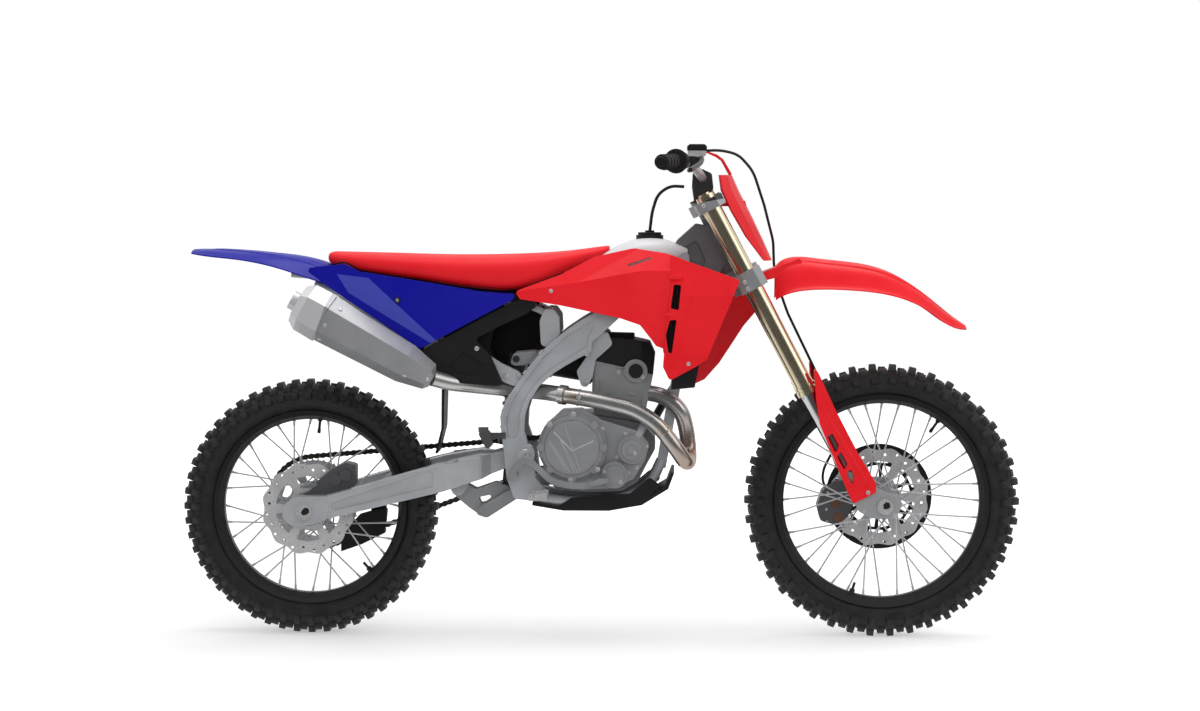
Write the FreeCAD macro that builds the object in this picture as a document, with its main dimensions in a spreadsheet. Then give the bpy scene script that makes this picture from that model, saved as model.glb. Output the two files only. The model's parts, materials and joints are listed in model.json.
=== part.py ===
"""A motocross bike in millimetres: +X runs forward, +Y to its left and +Z up.

The origin is the rider's place on top of the seat. Places along and up the bike are written in layout
squares of about 100 mm, counted forward from the rear axle and up from the ground. The squares are stretched
between the axles, the seat and the steering head, so a change of any of these carries every piece with it.
"""
import FreeCAD, Part
import Sketcher
import math
import os

Vector = FreeCAD.Vector

# Driving dimensions
sizes = {
    # whole bike
    "wheelbase": 1477,
    "seat_height": 985,
    "shroud_width": 400,
    "rider_from_rear_axle": 450,
    # steering
    "head_from_rear_axle": 1066,
    "head_height": 1000,
    "clamp_offset": 22,
    "axle_lug_offset": 38,
    "head_tube_radius": 32,
    "head_tube_above": 75,
    "head_tube_below": 60,
    "stem_radius": 15,
    "bearing_gap": 0.05,
    "bearing_height": 12,
    "seat_gap": 0.3,
    "leg_from_middle": 100,
    "fork_tube_radius": 25,
    "fork_cap_height": 12,
    "fork_tube_below": 421,
    "fork_collar_radius": 28,
    "fork_collar_length": 12,
    "fork_ring_length": 5,
    "slider_radius": 22,
    "foot_inner_reach": 21,
    "foot_outer_reach": 23.5,
    "foot_above_axle": 29,
    "upper_clamp_gap": 30,
    "upper_clamp_thickness": 28,
    "lower_clamp_thickness": 50,
    "clamp_gap": 0.3,
    "guard_gap": 2,
    # wheels
    "rear_wheel_radius": 331,
    "front_wheel_radius": 353,
    "rear_tyre_width": 104,
    "front_tyre_width": 88,
    "lug_height": 15,
    "rear_rim_radius": 251,
    "front_rim_radius": 276,
    "rear_rim_width": 62,
    "front_rim_width": 54,
    "rim_depth": 24,
    "rim_flange": 3,
    "bead_depth": 10,
    "tyre_gap": 0.3,
    "rear_hub_radius": 30,
    "front_hub_radius": 24,
    "rear_flange_radius": 60,
    "front_flange_radius": 42,
    "flange_from_middle": 30,
    "flange_thickness": 5,
    "spoke_radius": 2,
    "spoke_gap": 0.6,
    "disc_from_middle": 62,
    "disc_thickness": 4,
    "front_disc_radius": 130,
    "rear_disc_radius": 120,
    "disc_band": 30,
    "disc_hole_radius": 3.6,
    "disc_hub_radius": 44,
    "seat_radius": 52,
    "seat_thickness": 5,
    "rear_hub_half": 75,
    "front_hub_half": 68,
    "rear_axle_radius": 12.5,
    "front_axle_radius": 10,
    "axle_nut_radius": 20,
    "axle_nut_length": 10,
    "axle_gap": 0.05,
    "running_gap": 6,
    # chain
    "chain_pitch": 15.875,
    "chain_roller_radius": 5.08,
    "chain_plate_height": 7.2,
    "chain_width": 16,
    "chain_from_middle": 66,
    "sprocket_thickness": 6,
    "sprocket_tooth": 5,
    "sprocket_gap": 0.8,
    "rear_sprocket_teeth": 48,
    "drive_sprocket_teeth": 13,
    "arm_gap": 16,
    "arm_width": 35,
    # tubes and walls
    "panel_wall": 3,
    "boss_radius": 8,
    "fender_wall": 3,
    "guard_wall": 3,
    "subframe_tube_radius": 9,
    "cradle_tube_radius": 13,
    "exhaust_radius": 20.5,
    "exhaust_clamp_radius": 25,
    "exhaust_clamp_length": 16,
    "hose_radius": 3.5,
    "vent_radius": 4,
    "bar_radius": 11,
    "grip_radius": 17,
    "grip_flange_radius": 30,
    "grip_length": 120,
    "grip_flange_thickness": 5,
    "lever_radius": 6,
    "pedal_height": 16,
    "bolt_radius": 6,
    "slat_thickness": 2,
    "cover_edge": 4,
    "cast_edge": 3,
}

document = FreeCAD.newDocument("motocross_bike")
sheet = document.addObject("Spreadsheet::Sheet", "Sizes")
for row, (name, value) in enumerate(sizes.items(), start=1):
    sheet.set(f"A{row}", name)
    sheet.set(f"B{row}", str(value))
    sheet.setAlias(f"B{row}", name)
document.recompute()


class Size:
    """A number together with the spreadsheet expression that gives it."""

    def __init__(self, value, text):
        self.value = float(value)
        self.text = text

    def __float__(self):
        return self.value

    def __add__(self, other):
        return Size(self.value + float(other), f"({self.text} + {text_of(other)})")

    def __sub__(self, other):
        return Size(self.value - float(other), f"({self.text} - {text_of(other)})")

    def __mul__(self, other):
        return Size(self.value * float(other), f"({self.text} * {text_of(other)})")

    def __truediv__(self, other):
        return Size(self.value / float(other), f"({self.text} / {text_of(other)})")

    def __neg__(self):
        return Size(-self.value, f"(-{self.text})")

    __radd__ = __add__
    __rmul__ = __mul__

    def __rsub__(self, other):
        return -self + other


def text_of(number):
    return number.text if isinstance(number, Size) else repr(float(number))


def size(name):
    return Size(sheet.get(name), f"Sizes.{name}")


# Layout squares
wheelbase_share = 14.77
rear_axle_up_share = 3.31
seat_up_share = 9.85
head_shares = (10.66, 10.00)
front_axle_up_share = 3.53
width_share = 4.0
pull_from_share = 6.5
square_along = size("wheelbase") / wheelbase_share
square_up = (size("seat_height") - size("rear_wheel_radius")) / (seat_up_share - rear_axle_up_share)
square_across = size("shroud_width") / width_share

rear_axle_up = size("rear_wheel_radius") - size("seat_height")
front_axle_up = size("front_wheel_radius") - size("seat_height")
head_along = size("head_from_rear_axle") - size("rider_from_rear_axle")
head_up = size("head_height") - size("seat_height")


def along(share):
    return square_along * share - size("rider_from_rear_axle")


def up(share):
    return square_up * (share - rear_axle_up_share) + rear_axle_up


def across(share):
    """A place across the bike: a share of a square, or a size as it is."""
    return share if isinstance(share, Size) else square_across * share


head_shift_along = head_along - along(head_shares[0])
head_shift_up = head_up - up(head_shares[1])
axle_shift_up = front_axle_up - up(front_axle_up_share)


def chassis(along_share, up_share):
    """Where a place of the frame is: it follows the steering head more and more towards the front."""
    pull = min(max((along_share - pull_from_share) / (head_shares[0] - pull_from_share), 0), 1)
    return along(along_share) + head_shift_along * pull, up(up_share) + head_shift_up * pull


def steering(along_share, up_share):
    """Where a place of the steering parts is: between the head, which they turn in, and the front axle."""
    drop = min(max((head_shares[1] - up_share) / (head_shares[1] - front_axle_up_share), 0), 1)
    return (along(along_share) + head_shift_along * (1 - drop),
            up(up_share) + head_shift_up * (1 - drop) + axle_shift_up * drop)


def point(place, layout=chassis):
    """The point at a place of layout squares: along, up and across."""
    forward, height = layout(place[0], place[1])
    return Vector(float(forward), float(across(place[2])), float(height))


# Wheel centres and the steering axis
rear_axle_along = along(0)
front_axle_along = along(wheelbase_share)
head = Vector(float(head_along), 0, float(head_up))
front_axle = Vector(float(front_axle_along), 0, float(front_axle_up))
rear_axle = Vector(float(rear_axle_along), 0, float(rear_axle_up))
axle_offset = float(size("clamp_offset") + size("axle_lug_offset"))
head_to_axle = front_axle - head
axle_lead = math.asin(axle_offset / head_to_axle.Length)
rake = math.degrees(math.atan2(head_to_axle.x, -head_to_axle.z) - axle_lead)
axle_below_head = math.sqrt(head_to_axle.Length ** 2 - axle_offset ** 2)
steering_turn = FreeCAD.Rotation(Vector(0, 1, 0), -rake)
up_axis = steering_turn.multVec(Vector(0, 0, 1))
side_axis = Vector(0, 1, 0)

nodes = {}


def steered(ahead, side, above):
    """A point from lengths ahead of, beside and above the head point, along the steering axis."""
    return head + steering_turn.multVec(Vector(float(ahead), float(side), float(above)))


def node(name, *objects):
    """Joins the objects of one piece and gives it its name."""
    if len(objects) == 1:
        piece = objects[0]
    else:
        piece = document.addObject("Part::Compound", f"{name}_set")
        piece.Links = list(objects)
    nodes[name] = piece
    return piece


def fused(*objects):
    piece = document.addObject("Part::MultiFuse", "Fused")
    piece.Shapes = list(objects)
    return piece


def cut(base, *tools):
    """The base without the tools."""
    result = base
    for tool in tools:
        step = document.addObject("Part::Cut", "Cut")
        step.Base = result
        step.Tool = tool
        result = step
    return result


def common(base, tool):
    step = document.addObject("Part::Common", "Common")
    step.Base = base
    step.Tool = tool
    return step


def mirrored(base):
    """The same piece on the other side of the bike."""
    other = document.addObject("Part::Mirroring", "Mirrored")
    other.Source = base
    other.Normal = side_axis
    return other


def bind(target, prop, value):
    """Sets a property and keeps it tied to the spreadsheet."""
    if isinstance(value, Size):
        target.setExpression(prop, value.text)
    else:
        setattr(target, prop, float(value))


def set_place(piece, along_value, across_value, up_value):
    for axis, value in zip("xyz", (along_value, across_value, up_value)):
        if isinstance(value, Size):
            piece.setExpression(f"Placement.Base.{axis}", value.text)


def sketch(body, plane, corners):
    """A closed outline on one of the body's planes, every corner tied to the spreadsheet."""
    outline = body.newObject("Sketcher::SketchObject", "Outline")
    support = [plane_ for plane_ in body.Origin.OriginFeatures if plane_.Role == plane][0]
    outline.AttachmentSupport = [(support, "")]
    outline.MapMode = "FlatFace"
    spots = [Vector(float(first), float(second), 0) for first, second in corners]
    count = len(spots)
    outline.addGeometry([Part.LineSegment(spots[i], spots[(i + 1) % count]) for i in range(count)], False)
    rules = [Sketcher.Constraint("Coincident", i, 2, (i + 1) % count, 1) for i in range(count)]
    outline.addConstraint(rules)
    for i, (first, second) in enumerate(corners):
        for kind, value in (("DistanceX", first), ("DistanceY", second)):
            index = outline.addConstraint(Sketcher.Constraint(kind, -1, 1, i, 1, float(value)))
            if isinstance(value, Size):
                outline.setExpression(f"Constraints[{index}]", value.text)
    return outline


def pad(name, plane, corners, thickness):
    """An outline given thickness to both sides of its plane."""
    body = document.addObject("PartDesign::Body", name)
    outline = sketch(body, plane, corners)
    step = body.newObject("PartDesign::Pad", "Pad")
    step.Profile = outline
    step.Midplane = True
    bind(step, "Length", thickness)
    return body


def side_pad(name, shares, low, high, layout=chassis):
    """A piece with this outline seen from the side, between two places across."""
    corners = [layout(first, second) for first, second in shares]
    body = pad(name, "XZ_Plane", corners, across(high) - across(low))
    body.setExpression("Placement.Base.y", ((across(high) + across(low)) / 2).text)
    return body


tall_share = 4
wide_share = 8


def top_pad(name, shares):
    """A piece with this outline seen from above, as tall as the bike."""
    corners = [(chassis(first, 0)[0], across(second)) for first, second in shares]
    return pad(name, "XY_Plane", corners, size("seat_height") * tall_share)


def two_views(name, side_shares, top_shares):
    """The solid that has one outline from the side and the other from above."""
    side = side_pad(name, side_shares, -wide_share, wide_share)
    return common(side, top_pad(f"{name}_top", top_shares))


def turned(name, profile):
    """A profile of radius and place across, turned about the Y axis."""
    body = document.addObject("PartDesign::Body", name)
    outline = sketch(body, "XY_Plane", profile)
    step = body.newObject("PartDesign::Revolution", "Turned")
    step.Profile = outline
    step.ReferenceAxis = (outline, ["V_Axis"])
    step.Angle = 360
    return body


def at_rear_axle(piece):
    set_place(piece, rear_axle_along, None, rear_axle_up)
    return piece


def at_front_axle(piece):
    set_place(piece, front_axle_along, None, front_axle_up)
    return piece


def cylinder(radius, length, start, direction):
    """A round bar from a point along a direction."""
    bar = document.addObject("Part::Cylinder", "Bar")
    bind(bar, "Radius", radius)
    bind(bar, "Height", length)
    bar.Placement = FreeCAD.Placement(start, FreeCAD.Rotation(Vector(0, 0, 1), direction))
    return bar


def bar_across(radius, place, low, high, layout=chassis):
    """A round bar across the bike at a place seen from the side."""
    start = point((place[0], place[1], low), layout)
    return cylinder(radius, across(high) - across(low), start, side_axis)


def made(name, shape):
    """A piece whose shape Part's own functions give."""
    piece = document.addObject("Part::Feature", name)
    piece.Shape = shape
    return piece


run_share = 0.45
bend_limit_share = 40
straight_turn = 0.01


def corner_arc(before, corner, after, bend):
    """The start, crown and end of the arc that rounds a corner, as large as the bend or its runs allow."""
    back = before - corner
    ahead = after - corner
    reach = min(back.Length, ahead.Length)
    back.normalize()
    ahead.normalize()
    turn = max(math.pi - back.getAngle(ahead), straight_turn)
    radius = min(bend, run_share * reach / math.tan(turn / 2))
    setback = radius * math.tan(turn / 2)
    lift = radius / math.cos(turn / 2) - radius
    return corner + back * setback, corner + (back + ahead).normalize() * lift, corner + ahead * setback


def rounded_wire(points, bend):
    """Straight runs joined by tangent arcs."""
    edges = []
    last = points[0]
    for before, corner, after in zip(points, points[1:], points[2:]):
        first, crown, second = corner_arc(before, corner, after, bend)
        edges.append(Part.LineSegment(last, first).toShape())
        edges.append(Part.Arc(first, crown, second).toShape())
        last = second
    edges.append(Part.LineSegment(last, points[-1]).toShape())
    return Part.Wire(edges)


def rounded_outline(points, bend):
    """A closed outline with every corner rounded."""
    count = len(points)
    arcs = [corner_arc(points[i - 1], points[i], points[(i + 1) % count], bend) for i in range(count)]
    edges = []
    for i, (first, crown, second) in enumerate(arcs):
        edges.append(Part.Arc(first, crown, second).toShape())
        edges.append(Part.LineSegment(second, arcs[(i + 1) % count][0]).toShape())
    return Part.Wire(edges)


def rounded_plate(name, shares, low, high, bend, layout=chassis):
    """A plate seen from the side with rounded corners, between two places across."""
    points = [point((first, second, low), layout) for first, second in shares]
    thickness = float(across(high) - across(low))
    return made(name, Part.Face(rounded_outline(points, float(bend))).extrude(Vector(0, thickness, 0)))


def band(name, shares, height, low, high, layout=chassis):
    """A flat strip of even height that follows a line seen from the side."""
    line = [point((first, second, low), layout) for first, second in shares]
    wire = rounded_wire(line, float(size("shroud_width")))
    outline = wire.makeOffset2D(float(height) / 2, 0, False, False, False)
    return made(name, Part.Face(outline).extrude(Vector(0, float(across(high) - across(low)), 0)))


def tube(name, points, radius):
    """A round tube along straight runs joined by arcs."""
    path = rounded_wire(points, float(radius) * bend_limit_share)
    start = points[0]
    ring = Part.Circle(start, points[1] - start, float(radius)).toShape()
    return made(name, path.makePipeShell([Part.Wire([ring])], True, False))


def sheet_solid(name, rows, wall):
    """A smooth sheet through rows of points, thickened along one direction."""
    surface = Part.BSplineSurface()
    surface.interpolate(rows)
    return made(name, surface.toShape().extrude(wall))


flat_limit = 1e-6


def filled(*spots):
    """Flat faces over a loop of points: one where they lie in a plane, else a fan of triangles."""
    normal = (spots[1] - spots[0]).cross(spots[2] - spots[0]).normalize()
    if all(abs((spot - spots[0]).dot(normal)) < flat_limit for spot in spots):
        return [Part.Face(Part.makePolygon(list(spots) + [spots[0]]))]
    fan = []
    for second, third in zip(spots[1:], spots[2:]):
        fan.append(Part.Face(Part.makePolygon([spots[0], second, third, spots[0]])))
    return fan


def closed_solid(faces):
    """The solid inside faces that meet along all their edges."""
    shell = Part.makeShell(faces)
    shell.sewShape()
    solid = Part.makeSolid(shell)
    if solid.Volume < 0:
        solid.reverse()
    return solid


def creased_shell(name, rows, wall):
    """A sheet of flat facets through rows of points, thickened along one direction."""
    faces = []
    for low, high in zip(rows, rows[1:]):
        for near_low, far_low, near_high, far_high in zip(low, low[1:], high, high[1:]):
            for lift in (Vector(), wall):
                faces += filled(near_low + lift, far_low + lift, far_high + lift)
                faces += filled(near_low + lift, far_high + lift, near_high + lift)
    border = list(rows[0]) + [row[-1] for row in rows[1:]]
    border += rows[-1][-2::-1] + [row[0] for row in rows[-2:0:-1]]
    for spot, following in zip(border, border[1:] + border[:1]):
        faces += filled(spot, following, following + wall, spot + wall)
    return made(name, closed_solid(faces))


def lofted(name, sections):
    """A smooth solid through closed sections of points."""
    wires = []
    for section in sections:
        curve = Part.BSplineCurve()
        curve.interpolate(section, PeriodicFlag=True)
        wires.append(Part.Wire([curve.toShape()]))
    return made(name, Part.makeLoft(wires, True))


def pierced(name, outer, holes, thickness, middle):
    """A flat piece round the Y axis: an outline with holes, given thickness about a place across."""
    face = Part.Face(outer).cut([Part.Face(hole) for hole in holes])
    solid = face.extrude(Vector(0, float(thickness), 0)).Solids[0]
    return made(name, solid.translated(Vector(0, float(middle) - float(thickness) / 2, 0)))


def round_spot(radius, turn):
    """A point of the side view at a distance and turn from the Y axis."""
    return Vector(float(radius) * math.cos(turn), 0, float(radius) * math.sin(turn))


def round_hole(radius, centre):
    return Part.Wire([Part.Circle(centre, side_axis, float(radius)).toShape()])


def window(inner, outer, start, end, bend):
    """A hole between two radii and two turns with rounded corners."""
    middle = (start + end) / 2
    corners = [round_spot(inner, start), round_spot(inner, end), round_spot(outer, end),
               round_spot(outer, middle), round_spot(outer, start)]
    return rounded_outline(corners, float(bend))


def set_at(centre, solid):
    """A solid made round the Y axis, moved to its wheel centre."""
    return solid.translated(centre)


# Wheels
tread_shares = {
    "lug": 0.30, "gap": 0.48, "shoulder_drop": 0.30, "lug_drop": 0.24, "outer": 1.0, "foot": 0.93,
    "foot_drop": 1.75,
}
front_lug_pairs = 42
rear_lug_pairs = 52


def ring_spot(radius, side, turn):
    return Vector(radius * math.cos(turn), side, radius * math.sin(turn))


def lugged_tyre(name, centre, wheel_radius, width, rim_radius, rim_width, pairs):
    """A knobbed tyre: a lug over the crown, then one on each shoulder, all the way round."""
    crown = float(size(wheel_radius))
    half = float(size(width)) / 2
    lug = float(size("lug_height"))
    seat_half = float(size(rim_width)) / 2
    groove = crown - lug
    near = half * tread_shares["lug"]
    far = half * tread_shares["gap"]
    far_groove = groove - lug * tread_shares["shoulder_drop"]
    lug_top = crown - lug * tread_shares["lug_drop"]
    foot = crown - lug * tread_shares["foot_drop"]
    foot_half = half * tread_shares["foot"]
    lug_side = foot + lug * tread_shares["outer"]
    step = math.pi / pairs
    seat_at = float(size(rim_radius) + size("tyre_gap")) / math.cos(step)
    faces = []
    for pair in range(pairs):
        first = 2 * pair * step
        middle = first + step
        last = middle + step
        low_foot = foot * math.cos(step)

        def at(radius, side, turn):
            return ring_spot(low_foot if radius == foot and turn == middle else radius, side, turn)

        faces += filled(at(seat_at, -seat_half, first), at(seat_at, seat_half, first),
                        at(seat_at, seat_half, last), at(seat_at, -seat_half, last))
        faces += filled(at(groove, -near, middle), at(groove, near, middle),
                        at(groove, near, last), at(groove, -near, last))
        faces += filled(at(crown, -near, first), at(crown, near, first),
                        at(crown, near, middle), at(crown, -near, middle))
        for turn in (first, middle):
            faces += filled(at(groove, -near, turn), at(groove, near, turn), at(crown, near, turn),
                            at(crown, -near, turn))
        for side in (1, -1):
            faces += filled(at(seat_at, seat_half * side, first), at(foot, foot_half * side, first),
                            at(foot, foot_half * side, middle), at(foot, foot_half * side, last),
                            at(seat_at, seat_half * side, last))
            faces += filled(at(groove, near * side, first), at(crown, near * side, first),
                            at(crown, near * side, middle), at(groove, near * side, middle))
            for start, end in ((first, middle), (middle, last)):
                faces += filled(at(groove, near * side, start), at(far_groove, far * side, start),
                                at(far_groove, far * side, end), at(groove, near * side, end))
            faces += filled(at(foot, foot_half * side, first), at(far_groove, far * side, first),
                            at(far_groove, far * side, middle), at(foot, foot_half * side, middle))
            faces += filled(at(far_groove, far * side, middle), at(lug_top, far * side, middle),
                            at(lug_top, far * side, last), at(far_groove, far * side, last))
            faces += filled(at(lug_top, far * side, middle), at(lug_side, half * side, middle),
                            at(lug_side, half * side, last), at(lug_top, far * side, last))
            faces += filled(at(lug_side, half * side, middle), at(foot, foot_half * side, middle),
                            at(foot, foot_half * side, last), at(lug_side, half * side, last))
            for turn in (middle, last):
                faces += filled(at(foot, foot_half * side, turn), at(far_groove, far * side, turn),
                                at(lug_top, far * side, turn), at(lug_side, half * side, turn))
    return made(name, set_at(centre, closed_solid(faces)))


def rim(name, rim_radius, rim_width):
    outer = size(rim_radius)
    bed = outer - size("bead_depth")
    well = outer - size("rim_depth")
    half = size(rim_width) / 2
    inner_half = half - size("rim_flange")
    profile = [
        (outer, half),
        (outer, inner_half),
        (bed, inner_half),
        (bed, -inner_half),
        (outer, -inner_half),
        (outer, -half),
        (bed - size("rim_flange"), -half),
        (well, -half * rim_well_share),
        (well, half * rim_well_share),
        (bed - size("rim_flange"), half),
    ]
    return turned(name, profile)


rim_well_share = 0.35


def spoked_hub(name, centre, radius, flange_radius, half, axle_radius, rim_radius, count, seats):
    """A hub with two flanges, the seats of its disc or sprocket and the crossed spokes that reach the rim."""
    core = size(radius)
    flange = size(flange_radius)
    near = size("flange_from_middle")
    far = near + size("flange_thickness")
    bore = size(axle_radius) + size("axle_gap")
    end = core * hub_end_share
    reach = size(half)
    profile = [(bore, -reach), (bore, reach)]
    for sign in (1, -1):
        part = [(end, reach * sign)]
        if sign in seats:
            face = seats[sign]
            part += [(end, face * sign), (size("seat_radius"), face * sign),
                     (size("seat_radius"), (face - size("seat_thickness")) * sign),
                     (end, (face - size("seat_thickness")) * sign)]
        part += [(end, far * sign), (flange, far * sign), (flange, near * sign), (core, near * sign)]
        profile += part if sign == 1 else part[::-1]
    corners = [Vector(float(first), float(second), 0) for first, second in profile]
    hub = Part.Face(Part.makePolygon(corners + corners[:1])).revolve(Vector(), side_axis, 360)
    spoke_reach = float(size(rim_radius) - size("rim_depth") - size("spoke_gap"))
    start_radius = float(flange) * spoke_start_share
    hole_step = 4 * math.pi / count
    spokes = []
    for index in range(count):
        side = 1 if index % 2 else -1
        trail = 1 if index % 4 < 2 else -1
        rim_turn = 2 * math.pi * index / count
        hub_turn = rim_turn + trail * spokes_crossed * hole_step
        lift = float(size("spoke_radius")) * spoke_lift_share
        place = (float(far) + lift if trail == 1 else float(near) - lift) * side
        first = ring_spot(start_radius, place, hub_turn)
        last = ring_spot(spoke_reach, lift * side, rim_turn)
        spokes.append(Part.makeCylinder(float(size("spoke_radius")), (last - first).Length, first,
                                        last - first))
    return made(name, set_at(centre, hub.multiFuse(spokes)))


hub_end_share = 0.85
spoke_start_share = 0.9
spoke_lift_share = 0.5
spokes_crossed = 3


def waved_outline(radius, waves, depth_share):
    """A closed smooth wave about a circle."""
    count = waves * 4
    spots = []
    for index in range(count):
        lift = 1 - depth_share * (1 + math.cos(math.pi * index / 2)) / 2
        spots.append(round_spot(float(radius) * lift, 2 * math.pi * index / count))
    curve = Part.BSplineCurve()
    curve.interpolate(spots, PeriodicFlag=True)
    return Part.Wire([curve.toShape()])


disc_waves = 12
disc_wave_share = 0.055
disc_arms = 6
disc_holes = 24
disc_window_shares = (0.30, 0.70)


def wave_disc(name, centre, radius, side):
    """A brake disc with a waved edge, a drilled band and windows between its arms."""
    outer = size(radius)
    band_inner = outer - size("disc_band")
    inner = size("disc_hub_radius")
    holes = [round_hole(inner, Vector())]
    drilled = outer - size("disc_band") * disc_hole_row_share
    for index in range(disc_holes):
        turn = 2 * math.pi * (index + 0.5) / disc_holes
        row = drilled if index % 2 else drilled + size("disc_hole_radius") * 2
        holes.append(round_hole(size("disc_hole_radius"), round_spot(row, turn)))
    pitch = 2 * math.pi / disc_arms
    start_share, end_share = disc_window_shares
    first = size("seat_radius") + size("seat_thickness")
    last = band_inner - size("seat_thickness")
    for index in range(disc_arms):
        start = pitch * (index + start_share / 2)
        holes.append(window(first, last, start, start + pitch * end_share, size("disc_hole_radius")))
    body = pierced(name, waved_outline(outer, disc_waves, disc_wave_share), holes, size("disc_thickness"),
                   size("disc_from_middle") * side)
    body.Shape = set_at(centre, body.Shape)
    return body


disc_hole_row_share = 0.62

node("front_tyre", lugged_tyre("FrontTyre", front_axle, "front_wheel_radius", "front_tyre_width",
                               "front_rim_radius", "front_rim_width", front_lug_pairs))
node("rear_tyre", lugged_tyre("RearTyre", rear_axle, "rear_wheel_radius", "rear_tyre_width",
                              "rear_rim_radius", "rear_rim_width", rear_lug_pairs))
node("front_rim", at_front_axle(rim("FrontRim", "front_rim_radius", "front_rim_width")))
node("rear_rim", at_rear_axle(rim("RearRim", "rear_rim_radius", "rear_rim_width")))
front_spoke_count = 36
rear_spoke_count = 32
disc_face = size("disc_from_middle") - size("disc_thickness") / 2
sprocket_face = size("chain_from_middle") - size("sprocket_thickness") / 2
node("front_hub", spoked_hub("FrontHub", front_axle, "front_hub_radius", "front_flange_radius",
                             "front_hub_half",
                             "front_axle_radius", "front_rim_radius", front_spoke_count, {1: disc_face}))
node("rear_hub", spoked_hub("RearHub", rear_axle, "rear_hub_radius", "rear_flange_radius", "rear_hub_half",
                            "rear_axle_radius", "rear_rim_radius", rear_spoke_count,
                            {1: sprocket_face, -1: disc_face}))
node("front_disc", wave_disc("FrontDisc", front_axle, "front_disc_radius", 1))
node("rear_disc", wave_disc("RearDisc", rear_axle, "rear_disc_radius", -1))

# Chain and sprockets


def pitch_radius(teeth):
    return size("chain_pitch") / (2 * math.sin(math.pi / teeth))


rear_teeth = sizes["rear_sprocket_teeth"]
drive_teeth = sizes["drive_sprocket_teeth"]
rear_pitch = pitch_radius(rear_teeth)
drive_pitch = pitch_radius(drive_teeth)
drive_place_shares = (6.42, 4.76)
drive_place = point((drive_place_shares[0], drive_place_shares[1], 0.0))
tooth_shares = (0.0, 0.28, 0.5, 0.72)


def sprocket(name, centre, pitch, teeth, bore, windows):
    """A toothed plate with the bore of its hub and windows between its arms."""
    tip = float(pitch - size("chain_roller_radius") - size("sprocket_gap"))
    root = tip - float(size("sprocket_tooth"))
    spots = []
    for index in range(teeth):
        for share, radius in zip(tooth_shares, (root, root, tip, root)):
            spots.append(round_spot(radius, 2 * math.pi * (index + share) / teeth))
    holes = [round_hole(bore, Vector())]
    gap = 2 * math.pi / max(windows, 1)
    start_share, end_share = disc_window_shares
    for index in range(windows):
        start = gap * (index + start_share / 2)
        holes.append(window(size("seat_radius") + size("sprocket_tooth"),
                            size("rear_disc_radius") - size("disc_band"),
                            start, start + gap * end_share, size("disc_hole_radius")))
    body = pierced(name, Part.makePolygon(spots + spots[:1]), holes, size("sprocket_thickness"),
                   size("chain_from_middle"))
    body.Shape = set_at(centre, body.Shape)
    return body


node("rear_sprocket", sprocket("RearSprocket", rear_axle, rear_pitch, rear_teeth, size("disc_hub_radius"),
                               disc_arms))
node("drive_sprocket", sprocket("DriveSprocket", drive_place, drive_pitch, drive_teeth,
                                size("front_axle_radius"), 0))


def chain_line():
    """The places and outward directions of the chain's pins, evenly spaced round both sprockets."""
    line = drive_place - rear_axle
    lean = math.asin(float(rear_pitch - drive_pitch) / line.Length)
    heading = math.atan2(line.z, line.x)
    run = math.sqrt(line.Length ** 2 - float(rear_pitch - drive_pitch) ** 2)
    wide = math.pi + 2 * lean
    slim = math.pi - 2 * lean
    legs = [wide * float(rear_pitch), run, slim * float(drive_pitch), run]
    pins = 2 * round(sum(legs) / float(size("chain_pitch")) / 2)
    step = sum(legs) / pins
    spots = []
    for index in range(pins):
        walked = index * step
        low_turn = heading - math.pi / 2 + lean
        top_turn = heading + math.pi / 2 - lean
        low = round_spot(1, low_turn)
        top = round_spot(1, top_turn)
        along_low = round_spot(1, low_turn + math.pi / 2)
        along_top = round_spot(1, top_turn - math.pi / 2)
        if walked < run:
            spots.append((rear_axle + low * float(rear_pitch) + along_low * walked, low))
        elif walked < run + legs[2]:
            turn = low_turn + (walked - run) / float(drive_pitch)
            spots.append((drive_place + round_spot(float(drive_pitch), turn), round_spot(1, turn)))
        elif walked < 2 * run + legs[2]:
            back = walked - run - legs[2]
            spots.append((drive_place + top * float(drive_pitch) - along_top * back, top))
        else:
            turn = top_turn + (walked - 2 * run - legs[2]) / float(rear_pitch)
            spots.append((rear_axle + round_spot(float(rear_pitch), turn), round_spot(1, turn)))
    return spots


def chain_loop():
    """One fixed loop whose plates stand tall between the pins and low at every other link."""
    outer = []
    inner = []
    for index, (spot, outward) in enumerate(chain_line()):
        tall = float(size("chain_plate_height" if index % 2 else "chain_roller_radius"))
        outer.append(spot + outward * tall)
        inner.append(spot - outward * float(size("chain_roller_radius")))
    return pierced("Chain", Part.makePolygon(outer + outer[:1]), [Part.makePolygon(inner + inner[:1])],
                   size("chain_width"), size("chain_from_middle"))


node("chain", chain_loop())

# Axles
arm_inner = size("chain_from_middle") + size("chain_width") / 2 + size("arm_gap")
arm_outer = arm_inner + size("arm_width")
foot_inner = size("leg_from_middle") - size("foot_inner_reach")
foot_outer = size("leg_from_middle") + size("foot_outer_reach")


def axle(name, radius, clamped):
    """A hollow shaft with a nut and a head outside the faces that it clamps."""
    core = size(radius)
    nut = size("axle_nut_radius")
    inner = clamped + size("seat_gap")
    reach = inner + size("axle_nut_length")
    hollow = core * axle_hollow_share
    return turned(name, [(hollow, -reach), (nut, -reach), (nut, -inner), (core, -inner),
                         (core, inner), (nut, inner), (nut, reach), (hollow, reach)])


axle_hollow_share = 0.55
node("rear_axle", at_rear_axle(axle("RearAxle", "rear_axle_radius", arm_outer)))
node("front_axle", at_front_axle(axle("FrontAxle", "front_axle_radius", foot_outer)))


def axle_hole(radius, centre):
    reach = size("shroud_width")
    start = centre - side_axis * (float(reach) / 2)
    return cylinder(size(radius) + size("seat_gap"), reach, start, side_axis)


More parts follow.
